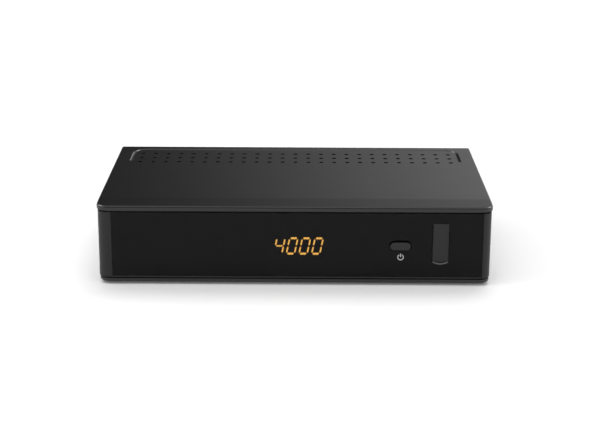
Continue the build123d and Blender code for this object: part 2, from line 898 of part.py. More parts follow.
def make_board_screws():
    one = screw(board_head_radius, board_head_height, case_screw_radius, board_screw_length)
    return group([Pos(x, y, board_top_z) * Rot(180, 0, 0) * one for x, y in board_screw_places()])


def on_board(place, size):
    """Block-shaped part on the board, placed by X and its setback from the front."""
    x, setback = place
    width, depth, height = size
    return block(span(x, width), span(front_y + setback, depth), (board_top_z, board_top_z + height))


def from_left(insets):
    """Places given from the left edge of the board, as X and setback."""
    return [(inset - board_half_width, setback) for inset, setback in insets]


def make_processor():
    place = (processor_x, processor_setback)
    return on_board(place, (processor_size, processor_size, processor_height))


def make_heat_sink():
    z = board_top_z + processor_height
    x, y = span(processor_x, sink_size), span(front_y + processor_setback, sink_size)
    sink = block(x, y, (z, z + sink_base))
    pitch = (sink_size - fin_thickness) / (fin_count - 1)
    for fin in range(fin_count):
        middle = x[0] + fin_thickness / 2 + fin * pitch
        sink += block(span(middle, fin_thickness), y, (z, z + sink_height))
    return sink


def make_memory_chips():
    return group([on_board(place, memory_size) for place in memory_places])


def make_regulators():
    return group([on_board(place, regulator_size) for place in from_left(regulator_insets)])


def make_power_coils():
    coils = [on_board(place, (coil_size, coil_size, coil_height)) for place in from_left(coil_insets)]
    return group([chamfer(coil.edges().filter_by(Axis.Z), coil_size / 6) for coil in coils])


def make_capacitors():
    cans = []
    for x, setback in from_left(capacitor_insets):
        outline = facets(x, front_y + setback, capacitor_radius, small_sides)
        cans.append(along_z(outline, board_top_z, board_top_z + capacitor_height))
    return group(cans)


def make_crystal():
    can = on_board(crystal_place, crystal_size)
    return chamfer(can.edges().filter_by(Axis.Z), crystal_size[1] / 3)


def make_card_reader_base():
    y = span(front_y + reader_setback, reader_width)
    base = block((reader_left, reader_right), y, (board_top_z, board_top_z + reader_height))
    bay = span(board_top_z + reader_height / 2, card_slot_height)
    y = span(front_y + reader_setback, card_width)
    return base - block((reader_left + 2, reader_right + 1), y, bay)


def make_card_reader_cover():
    low, high = board_top_z + reader_height, board_top_z + reader_height + reader_cover_thickness
    y = span(front_y + reader_setback, reader_width)
    x = (reader_left + reader_cover_inset, reader_right - reader_cover_inset)
    window = span(front_y + reader_setback, reader_cover_window)
    window_x = span(sum(x) / 2, reader_cover_window)
    return block(x, y, (low, high)) - block(window_x, window, (low - 1, high + 1))


# ---- Rear panel and sockets ----
def box_outline(x, z_low, width, height):
    """Upright rectangle standing on a height."""
    return Pos(x, z_low + height / 2) * Rectangle(width, height)


def cut_out(x, width, height):
    """Hole in the rear panel around a socket that stands on the board."""
    return box_outline(x, board_top_z - cutout_gap, width + 2 * cutout_gap, height + 2 * cutout_gap)


def make_rear_panel():
    x = span(0, 2 * (side_inner_x - fit_gap))
    panel = block(x, (panel_inner_y, panel_outer_y), (floor_z, plate_z - fit_gap))
    holes = cut_out(network_x, network_width, network_height)
    holes += cut_out(video_x, video_width, video_height)
    holes += cut_out(av_x, av_width, av_height)
    holes += cut_out(rocker_x, rocker_body_width, rocker_body_height)
    holes += around(audio_x, audio_z, audio_nose_radius + cutout_gap, small_sides)
    holes += around(inlet_x, inlet_z, inlet_width / 2 - inlet_nose + cutout_gap, small_sides)
    for x in (dish_input_x, dish_loop_x):
        holes += around(x, connector_z, barrel_radius + cutout_gap, small_sides)
    for x, z in panel_screw_places():
        holes += around(x, z, panel_screw_radius + hole_gap)
    return panel - along_y(holes, panel_inner_y - 1, panel_outer_y + 1)


def make_rear_panel_screws():
    one = screw(case_head_radius, case_head_height, panel_screw_radius, panel_screw_length, small_sides)
    return group([Pos(x, panel_outer_y, z) * Rot(90, 0, 0) * one for x, z in panel_screw_places()])


def make_tuner_can():
    """Shielded box with a pressed lid that stands a little proud of its walls."""
    x, y_high = span(tuner_x, tuner_width), panel_inner_y - tuner_gap
    y = (y_high - tuner_depth, y_high)
    top_z = board_top_z + tuner_height
    walls = block(x, y, (board_top_z, top_z - tuner_lid))
    inset = tuner_lid_inset
    lid = block((x[0] + inset, x[1] - inset), (y[0] + inset, y[1] - inset), (top_z - tuner_lid, top_z))
    return walls + chamfer(lid.faces().sort_by(Axis.Z)[-1].edges(), tuner_lid / 2)


def connector_tip_y():
    return panel_outer_y + barrel_stand_out


def make_aerial_connector(x):
    """Threaded barrel on the tuner, with a relief groove where its nut ends."""
    nut_end = panel_outer_y + washer_thickness + nut_thickness
    thread_y = nut_end + barrel_relief_width
    root = facets(x, connector_z, barrel_radius, small_sides)
    relief = facets(x, connector_z, barrel_radius - barrel_relief, small_sides)
    barrel = along_y(root, panel_inner_y - tuner_gap, nut_end) + along_y(relief, nut_end, thread_y)
    barrel += along_y(disc(x, connector_z, barrel_radius), thread_y, connector_tip_y())
    bore = around(x, connector_z, barrel_bore, small_sides)
    return barrel - along_y(bore, panel_outer_y, connector_tip_y() + 1)


def make_connector_insulators():
    cores = []
    for x in (dish_input_x, dish_loop_x):
        outline = around(x, connector_z, barrel_bore - thread_gap, small_sides)
        core = along_y(outline, panel_outer_y, connector_tip_y() - core_recess)
        hole = facets(x, connector_z, core_hole_radius)
        cores.append(core - along_y(hole, panel_outer_y + core_floor, connector_tip_y()))
    return group(cores)


def make_connector_washers():
    rings = []
    for x in (dish_input_x, dish_loop_x):
        ring = facets(x, connector_z, washer_radius, small_sides)
        ring -= around(x, connector_z, barrel_radius + thread_gap, small_sides)
        rings.append(along_y(ring, panel_outer_y, panel_outer_y + washer_thickness))
    return group(rings)


def make_connector_nuts():
    nuts = []
    low = panel_outer_y + washer_thickness
    for x in (dish_input_x, dish_loop_x):
        hexagon = around(x, connector_z, nut_across_flats / 2, 6)
        hexagon -= around(x, connector_z, barrel_radius + thread_gap, small_sides)
        nuts.append(along_y(hexagon, low, low + nut_thickness))
    return group(nuts)


def make_network_socket_shell():
    """Metal shell around the network socket, open at the back of the receiver."""
    y_low, y_high = socket_face_y - network_depth, socket_face_y
    shell = along_y(box_outline(network_x, board_top_z, network_width, network_height), y_low, y_high)
    width, height = network_width - 2 * network_wall, network_height - 2 * network_wall
    inner = box_outline(network_x, board_top_z + network_wall, width, height)
    return shell - along_y(inner, y_low + network_wall, y_high + 1)


def network_cavity_z():
    """Low and high ends of the plug cavity, with the latch notch above it."""
    low = board_top_z + (network_height - network_cavity_height - network_latch_height) / 2
    return low, low + network_cavity_height


def network_face_y():
    return socket_face_y - network_insert_setback


def make_network_socket_insert():
    inner_width = network_width - 2 * (network_wall + thread_gap)
    inner_height = network_height - 2 * (network_wall + thread_gap)
    outline = box_outline(network_x, board_top_z + network_wall + thread_gap, inner_width, inner_height)
    y_low, y_high = socket_face_y - network_depth + network_wall, network_face_y()
    low, high = network_cavity_z()
    cavity = box_outline(network_x, low, network_cavity_width, high - low)
    cavity += box_outline(network_x, high, network_latch_width, network_latch_height)
    insert = along_y(outline, y_low, y_high)
    return insert - along_y(cavity, y_high - network_cavity_depth, y_high + 1)


def make_network_contacts():
    """Row of sprung wires that slope up from the floor of the cavity towards the back."""
    low = network_cavity_z()[0]
    back = network_face_y() - network_cavity_depth
    front = back + network_cavity_depth * 0.7
    points = [(front, low), (front, low + contact_width), (back, low + contact_drop)]
    points += [(back, low + contact_drop - contact_width), (front - 1.5, low)]
    wires = []
    for number in range(contact_count):
        x = network_x + (number - (contact_count - 1) / 2) * contact_pitch
        wires.append(along_x(make_face(Polyline(*points, close=True)), *span(x, contact_width)))
    return group(wires)


def video_outline(shrink):
    """Tapered outline of the digital video socket, narrower at its bottom edge."""
    half, height = video_width / 2 - shrink, video_height - shrink
    cut = video_chamfer
    points = [(-half, height), (half, height), (half, shrink + cut), (half - cut, shrink)]
    points += [(-half + cut, shrink), (-half, shrink + cut)]
    return Pos(video_x, board_top_z) * make_face(Polyline(*points, close=True))


def make_video_socket_shell():
    y_low, y_high = socket_face_y - video_depth, socket_face_y
    shell = along_y(video_outline(0), y_low, y_high)
    return shell - along_y(video_outline(video_wall), y_low + video_wall, y_high + 1)


def make_video_socket_tongue():
    y_low = socket_face_y - video_depth + video_wall
    back = along_y(video_outline(video_wall + thread_gap), y_low, y_low + video_back)
    width = video_width - 2 * video_tongue_margin
    outline = Pos(video_x, board_top_z + video_height / 2) * Rectangle(width, video_tongue_thickness)
    return back + along_y(outline, y_low, socket_face_y - 1.0)


def av_outline(shrink):
    """Plug outline of the audio and video socket, slanted at one lower corner."""
    half, rise = av_channel_width / 2 - shrink, av_channel_height / 2 - shrink
    points = [(-half, rise), (half, rise), (half, -rise), (-half + av_slant, -rise)]
    points += [(-half, -rise + av_slant)]
    return Pos(av_x, board_top_z + av_height / 2) * make_face(Polyline(*points, close=True))


def av_slot_places():
    """Middles of the two staggered rows of contact slots."""
    middle_z = board_top_z + av_height / 2
    places = []
    for row in (-1, 1):
        for column in range(av_slot_columns):
            x = av_x + (column - (av_slot_columns - 1) / 2) * av_slot_pitch + row * av_row_shift / 2
            places.append((x, middle_z + row * av_row_rise))
    return places


def make_av_socket():
    y_high = socket_face_y
    body = along_y(box_outline(av_x, board_top_z, av_width, av_height), y_high - av_depth, y_high)
    channel = av_outline(0) - av_outline(av_channel)
    body -= along_y(channel, y_high - av_channel_depth, y_high + 1)
    slot = Rectangle(av_slot_width, av_slot_height)
    slots = Sketch() + [Pos(*place) * slot for place in av_slot_places()]
    return body - along_y(slots, y_high - av_slot_depth, y_high + 1)


def make_av_contacts():
    y_low = socket_face_y - av_slot_depth
    blade = Rectangle(av_contact_thickness, av_contact_height)
    y = (y_low, y_low + av_contact_length)
    return group([along_y(Pos(*place) * blade, *y) for place in av_slot_places()])


def audio_nose_y():
    return panel_outer_y + audio_nose_stand_out


def make_audio_jack_body():
    """Moulded block on the board, with a round nose that fills the panel's hole."""
    y_high = panel_inner_y - thread_gap
    outline = box_outline(audio_x, board_top_z, audio_width, audio_height)
    nose = facets(audio_x, audio_z, audio_nose_radius, small_sides)
    return along_y(outline, y_high - audio_depth, y_high) + along_y(nose, y_high - 1, audio_nose_y())


def make_audio_jack_shell():
    tip = panel_outer_y + audio_stand_out
    barrel = along_y(disc(audio_x, audio_z, audio_barrel_radius), audio_nose_y(), tip)
    bore = around(audio_x, audio_z, audio_barrel_radius - audio_barrel_wall, small_sides)
    return barrel - along_y(bore, audio_nose_y() - 1, tip + 1)


def make_audio_jack_core():
    tip = panel_outer_y + audio_stand_out - audio_core_recess
    core_radius = audio_barrel_radius - audio_barrel_wall - thread_gap
    outline = around(audio_x, audio_z, core_radius, small_sides)
    hole = facets(audio_x, audio_z, audio_hole_radius, small_sides)
    return along_y(outline, audio_nose_y(), tip) - along_y(hole, audio_nose_y() + 1, tip + 1)


def make_dc_inlet_body():
    y_high = panel_inner_y - thread_gap
    outline = box_outline(inlet_x, board_top_z, inlet_width, inlet_height)
    nose = facets(inlet_x, inlet_z, inlet_width / 2 - inlet_nose, small_sides)
    body = along_y(outline, y_high - inlet_depth, y_high) + along_y(nose, y_high - 1, panel_outer_y)
    bore = around(inlet_x, inlet_z, inlet_bore, small_sides)
    return body - along_y(bore, panel_outer_y - inlet_bore_depth, panel_outer_y + 1)


def make_dc_inlet_pin():
    y_low = panel_outer_y - inlet_bore_depth
    return along_y(disc(inlet_x, inlet_z, inlet_pin_radius), y_low, y_low + inlet_pin_length)


def rocker_axis():
    """Place of the rocker's upright hinge axis, as X and Y."""
    return rocker_x, panel_outer_y + rocker_bezel - rocker_axis_depth


def rocker_z():
    return board_top_z + rocker_body_height / 2


def make_rocker_switch_body():
    face = panel_outer_y + rocker_bezel
    outline = box_outline(rocker_x, board_top_z, rocker_body_width, rocker_body_height)
    body = along_y(outline, face - rocker_body_depth, face)
    body = chamfer(body.faces().sort_by(Axis.Y)[-1].edges(), 0.4)
    x, y = rocker_axis()
    z = span(rocker_z(), rocker_height + 2 * rocker_gap)
    swing = rocker_reach + rocker_gap
    body -= along_z(disc(x, y, swing), *z)
    body -= block(span(x, 2 * swing), (y, face + 1), z)
    pin_reach = rocker_height + 2 * (rocker_gap + rocker_pin_length)
    return body - along_z(disc(x, y, rocker_pin_radius + rocker_pin_gap), *span(rocker_z(), pin_reach))


def make_rocker():
    """Rocker with two sloping halves, tilted to its on position, with a stub pin at each end."""
    slope = math.tan(math.radians(rocker_tilt))
    rise = rocker_crown + rocker_reach * slope
    points = [(-rocker_reach, -rocker_heel), (rocker_reach, -rocker_heel)]
    points += [(rocker_reach, rise), (0, rocker_crown), (-rocker_reach, rise)]
    outline = make_face(Polyline(*points, close=True))
    swing = Circle(rocker_reach)
    x, y = rocker_axis()
    outline = Pos(x, y) * Rot(0, 0, -rocker_tilt) * (outline & swing)
    body = along_z(outline, *span(rocker_z(), rocker_height))
    pin_span = span(rocker_z(), rocker_height + 2 * rocker_pin_length)
    return body + along_z(disc(x, y, rocker_pin_radius), *pin_span)


# ---- All nodes ----
nodes = {
    "top_cover": make_top_cover(),
    "base_tray": make_base_tray(),
    "front_frame": make_front_frame(),
    "window_panel": make_window_panel(),
    "rear_panel": make_rear_panel(),
    "feet": make_feet(),
    "case_screws": make_case_screws(),
    "rear_panel_screws": make_rear_panel_screws(),
    "power_button": make_power_button(),
    "button_switch_body": make_button_switch_body(),
    "button_switch_plunger": make_button_switch_plunger(),
    "port_flap": make_port_flap(),
    "flap_pin": make_flap_pin(),
    "front_board": make_front_board(),
    "front_board_screws": make_front_board_screws(),
    "display_module": make_display_module(),
    "lit_segments": make_segments(True),
    "unlit_segments": make_segments(False),
    "infrared_receiver": make_infrared_receiver(),
    "front_data_shell": make_front_data_shell(),
    "front_data_tongue": make_front_data_tongue(),
    "ribbon_header_front": make_ribbon_header_front(),
    "ribbon_header_main": make_ribbon_header_main(),
    "ribbon_cable": make_ribbon_cable(),
    "main_board": make_main_board(),
    "board_screws": make_board_screws(),
    "tuner_can": make_tuner_can(),
    "dish_input": make_aerial_connector(dish_input_x),
    "dish_loop_output": make_aerial_connector(dish_loop_x),
    "connector_insulators": make_connector_insulators(),
    "connector_washers": make_connector_washers(),
    "connector_nuts": make_connector_nuts(),
    "processor": make_processor(),
    "heat_sink": make_heat_sink(),
    "memory_chips": make_memory_chips(),
    "flash_chip": on_board(flash_place, flash_size),
    "regulators": make_regulators(),
    "power_coils": make_power_coils(),
    "capacitors": make_capacitors(),
    "crystal": make_crystal(),
    "card_reader_base": make_card_reader_base(),
    "card_reader_cover": make_card_reader_cover(),
    "network_socket_shell": make_network_socket_shell(),
    "network_socket_insert": make_network_socket_insert(),
    "network_contacts": make_network_contacts(),
    "video_socket_shell": make_video_socket_shell(),
    "video_socket_tongue": make_video_socket_tongue(),
    "av_socket": make_av_socket(),
    "av_contacts": make_av_contacts(),
    "audio_jack_body": make_audio_jack_body(),
    "audio_jack_shell": make_audio_jack_shell(),
    "audio_jack_core": make_audio_jack_core(),
    "dc_inlet_body": make_dc_inlet_body(),
    "dc_inlet_pin": make_dc_inlet_pin(),
    "rocker_switch_body": make_rocker_switch_body(),
    "rocker": make_rocker(),
}

os.makedirs("parts", exist_ok=True)
for name, solid in nodes.items():
    export_step(solid, f"parts/{name}.step")
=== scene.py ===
"""Finishes and fine pieces of a satellite television receiver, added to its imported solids."""

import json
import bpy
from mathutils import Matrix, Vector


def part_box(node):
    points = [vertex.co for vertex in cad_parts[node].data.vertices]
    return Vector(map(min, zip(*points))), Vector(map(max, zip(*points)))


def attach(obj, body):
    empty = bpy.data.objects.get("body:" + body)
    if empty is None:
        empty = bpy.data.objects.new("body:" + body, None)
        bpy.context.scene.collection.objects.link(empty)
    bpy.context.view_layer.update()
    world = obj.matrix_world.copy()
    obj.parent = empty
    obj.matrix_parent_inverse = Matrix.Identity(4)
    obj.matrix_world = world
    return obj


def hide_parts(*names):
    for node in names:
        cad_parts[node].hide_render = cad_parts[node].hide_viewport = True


bl_info = {
    "name": "Satellite receiver finishes",
    "version": (1, 0, 0),
    "blender": (4, 5, 0),
    "location": "View3D > Sidebar > Receiver",
    "description": "Fine pieces, surface finishes and a studio for a desktop receiver",
    "category": "Object",
}

from math import cos, hypot, pi, radians, sin, tan

import bmesh
import bpy
from bpy.props import FloatProperty, FloatVectorProperty, IntProperty, PointerProperty
from mathutils import Matrix, Vector

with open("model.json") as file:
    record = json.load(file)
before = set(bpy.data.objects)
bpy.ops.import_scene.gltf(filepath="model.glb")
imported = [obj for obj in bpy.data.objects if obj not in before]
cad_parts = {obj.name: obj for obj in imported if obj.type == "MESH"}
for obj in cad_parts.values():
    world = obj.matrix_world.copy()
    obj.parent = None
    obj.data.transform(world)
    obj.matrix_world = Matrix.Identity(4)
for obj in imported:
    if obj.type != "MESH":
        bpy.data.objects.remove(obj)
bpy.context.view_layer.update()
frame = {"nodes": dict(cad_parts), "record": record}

MM = 0.001
OVERLAP = 0.05 * MM  # depth by which two solids reach into each other before they are united
CREASE = radians(42)  # faces that meet at a greater angle keep a hard edge between them
SOFT_EDGE = 0.25 * MM  # rounding of the shells' edges beside the shadow gaps
WINDOW_FIT = 0.07 * MM  # by which the window outgrows its packed size, to close its seams
DIGIT_GLOW = 57.0  # high, because the smoked window passes little more than a hundredth of it
FINISHES = {}  # filled by the first operator
NODES = frame["nodes"]
SLOT_OF = {part["node"]: part["material_slot"] for part in frame["record"]["subparts"]}


def linear(code):
    """Linear colour of an sRGB hex code."""
    channels = [int(code[i : i + 2], 16) / 255 for i in (0, 2, 4)]
    return [c / 12.92 if c <= 0.04045 else ((c + 0.055) / 1.055) ** 2.4 for c in channels]


def length(name, about, millimetres):
    """Size property, in metres, from a default in millimetres."""
    size = millimetres * MM
    return FloatProperty(name=name, description=about, default=size, min=0, unit="LENGTH")


def colour(name, about, code):
    """Colour property from an sRGB hex code."""
    return FloatVectorProperty(
        name=name, description=about, default=linear(code), size=3, subtype="COLOR", min=0, max=1
    )


class ReceiverSizes(bpy.types.PropertyGroup):
    lid_edge: length("Lid edge", "Radius of the lid's rounded top edge", 1.0)
    fall_depth: length("Front fall", "Front edge of the lid to the crease it falls from", 15.0)
    fall: length("Fall", "Height the lid loses from that crease to its front edge", 0.6)
    corner: length("Front corner", "Radius of the lid's front corners", 6.5)
    rear_corner: length("Rear corner", "Radius of the lid's rear corners", 1.2)
    lid_plate: length("Lid plate", "Thickness of the lid's top", 2.2)
    lip_width: length("Lip width", "Thickness of the lip around the lid", 1.2)
    lip_height: length("Lip height", "Lid's top to the lower edge of its lip", 3.3)
    vent: length("Vent", "Radius of a round vent", 1.4)
    vent_mouth: length("Vent mouth", "Radius of a vent where it opens on the lid", 1.46)
    vent_pitch_x: length("Vent spacing across", "Distance between the vents of a row", 7.9)
    vent_pitch_y: length("Vent spacing back", "Distance between the rows", 9.6)
    vent_margin: length("Vent margin", "Rear edge of the lid to the last row", 17.9)
    vent_columns: IntProperty(name="Vents per row", description="Vents in each row", default=25)
    vent_rows: IntProperty(name="Vent rows", description="Number of rows", default=3)
    groove_half: length("Groove", "Half the width of the groove around the vents", 1.0)
    groove_side: length("Groove side", "Side edge of the lid to the groove", 9.5)
    groove_back: length("Groove back", "Rear edge of the lid to the groove", 7.4)
    groove_arm: length("Groove arm", "Length of the groove's two arms", 27.5)
    groove_bend: length("Groove bend", "Radius of the groove's corners", 8.5)
    gap_drop: length("Gap drop", "Height by which the shadow gaps lie lower", 0.4)
    window_left: length("Window left", "Shift of the window's left edge towards the port", 1.7)
    window_right: length("Window right", "Shift of its right edge the same way", 1.0)
    button_gap: length("Button gap", "Gap between the button's guide and the window", 0.4)
    button_shy: length("Button shy", "Depth by which the cap is drawn in from its guide", 0.22)
    port_gap: length("Port gap", "Gap around the port's flap", 0.3)
    port_scoop: length("Port scoop", "Depth of the fingertip rest under the flap", 1.45)
    digit_width: length("Digit width", "Between the middles of a digit's upright bars", 4.5)
    digit_height: length("Digit height", "Between the middles of its top and bottom bars", 9.0)
    digit_pitch: length("Digit spacing", "Middle of one digit to the middle of the next", 7.04)
    digit_slant: FloatProperty(
        name="Digit slant", description="Lean of the digits", default=radians(11.5), subtype="ANGLE"
    )
    mark_radius: length("Mark radius", "Radius of the printed power mark", 1.53)
    mark_line: length("Mark line", "Line width of the printed power mark", 0.42)


class ReceiverColours(bpy.types.PropertyGroup):
    lid: colour("Lid", "Satin plastic of the lid", "131314")
    base: colour("Base", "Grained plastic of the base", "202021")
    front: colour("Front", "Matt plastic of the front", "262627")
    window: colour("Window", "Smoked acrylic", "060607")
    digits: colour("Digits", "Lit diffusers", "ffc05b")
    ink: colour("Ink", "Printed marks", "c9c9c9")
    board: colour("Board", "Solder mask", "17563a")
    floor: colour("Floor", "Studio floor", "f4f4f4")


def sizes():
    """Sizes set in the sidebar."""
    return bpy.context.scene.receiver_sizes


def colours():
    """Colours set in the sidebar."""
    return bpy.context.scene.receiver_colours


# ---- Finishes ----
def add(tree, kind, inputs=None, **settings):
    """Adds a node with its settings; inputs maps a socket to a value or to what feeds it."""
    made = tree.nodes.new(kind)
    for name, value in settings.items():
        setattr(made, name, value)
    for name, value in (inputs or {}).items():
        if isinstance(value, bpy.types.NodeSocket):
            tree.links.new(value, made.inputs[name])
        else:
            made.inputs[name].default_value = value
    return made


def per_mm(size):
    """Scale of a noise whose features are this many millimetres across."""
    return 1 / (size * MM)


def opaque(value):
    """Colour with full alpha."""
    return (*value, 1.0)


def surface(name, tone, patch, rough, grain, depth, stretch=(1, 1, 1), change=0.12, **sockets):
    """Finish with slow patches of tone and gloss, and fine grain in height.

    patch and grain are sizes in millimetres, rough the range of roughness, depth the height of
    the grain in millimetres, stretch how the pattern is scaled along each axis and change the
    share by which the tone varies.
    """
    material = bpy.data.materials.new(name)
    material.use_nodes = True
    tree = material.node_tree
    shader = tree.nodes["Principled BSDF"]
    for socket, value in sockets.items():
        shader.inputs[socket.replace("_", " ")].default_value = value
    place = add(tree, "ShaderNodeTexCoord")
    spread = add(tree, "ShaderNodeMapping", {"Vector": place.outputs["Object"], "Scale": stretch})
    across = spread.outputs["Vector"]
    pattern = {"Vector": across, "Scale": per_mm(patch), "Detail": 3.0}
    slow = add(tree, "ShaderNodeTexNoise", pattern)
    dark, light = [opaque([c * share for c in tone]) for share in (1 - change, 1 + change)]
    mix = add(tree, "ShaderNodeMix", {0: slow.outputs["Fac"], 6: dark, 7: light}, data_type="RGBA")
    tree.links.new(mix.outputs[2], shader.inputs["Base Color"])
    pattern = {"Vector": across, "Scale": per_mm(grain), "Detail": 2.0}
    fine = add(tree, "ShaderNodeTexNoise", pattern)
    both = {0: slow.outputs["Fac"], 1: fine.outputs["Fac"]}
    gloss = add(tree, "ShaderNodeMath", both, operation="ADD")
    span = {"From Min": 0.7, "From Max": 1.3, "To Min": rough[0], "To Max": rough[1]}
    ranged = add(tree, "ShaderNodeMapRange", {"Value": gloss.outputs[0], **span})
    tree.links.new(ranged.outputs["Result"], shader.inputs["Roughness"])
    height = {"Height": fine.outputs["Fac"], "Distance": depth * MM, "Strength": 1.0}
    bump = add(tree, "ShaderNodeBump", height)
    tree.links.new(bump.outputs["Normal"], shader.inputs["Normal"])
    return material


def lit_diffuser():
    """Moulded amber diffuser over a lamp, with an even glow."""
    material = surface("polycarbonate_amber_lit", colours().digits, 2.0, (0.35, 0.45), 0.4, 0.004)
    shader = material.node_tree.nodes["Principled BSDF"]
    shader.inputs["Emission Color"].default_value = opaque(colours().digits)
    shader.inputs["Emission Strength"].default_value = DIGIT_GLOW
    return material


def circuit_board():
    """Glass-epoxy board under green solder mask, with faint lines of copper tracks."""
    material = surface("glass_epoxy_green_mask", colours().board, 6.0, (0.28, 0.4), 0.5, 0.01)
    tree = material.node_tree
    place = add(tree, "ShaderNodeTexCoord")
    layout = {
        "Vector": place.outputs["Object"], "Color1": opaque(colours().board),
        "Color2": opaque(linear("124a31")), "Mortar": opaque(linear("2a7a52")),
        "Scale": per_mm(10.0), "Mortar Size": 0.02, "Brick Width": 0.9, "Row Height": 0.13,
    }
    tracks = add(tree, "ShaderNodeTexBrick", layout)
    shader = tree.nodes["Principled BSDF"]
    tree.links.new(tracks.outputs["Color"], shader.inputs["Base Color"])
    return material


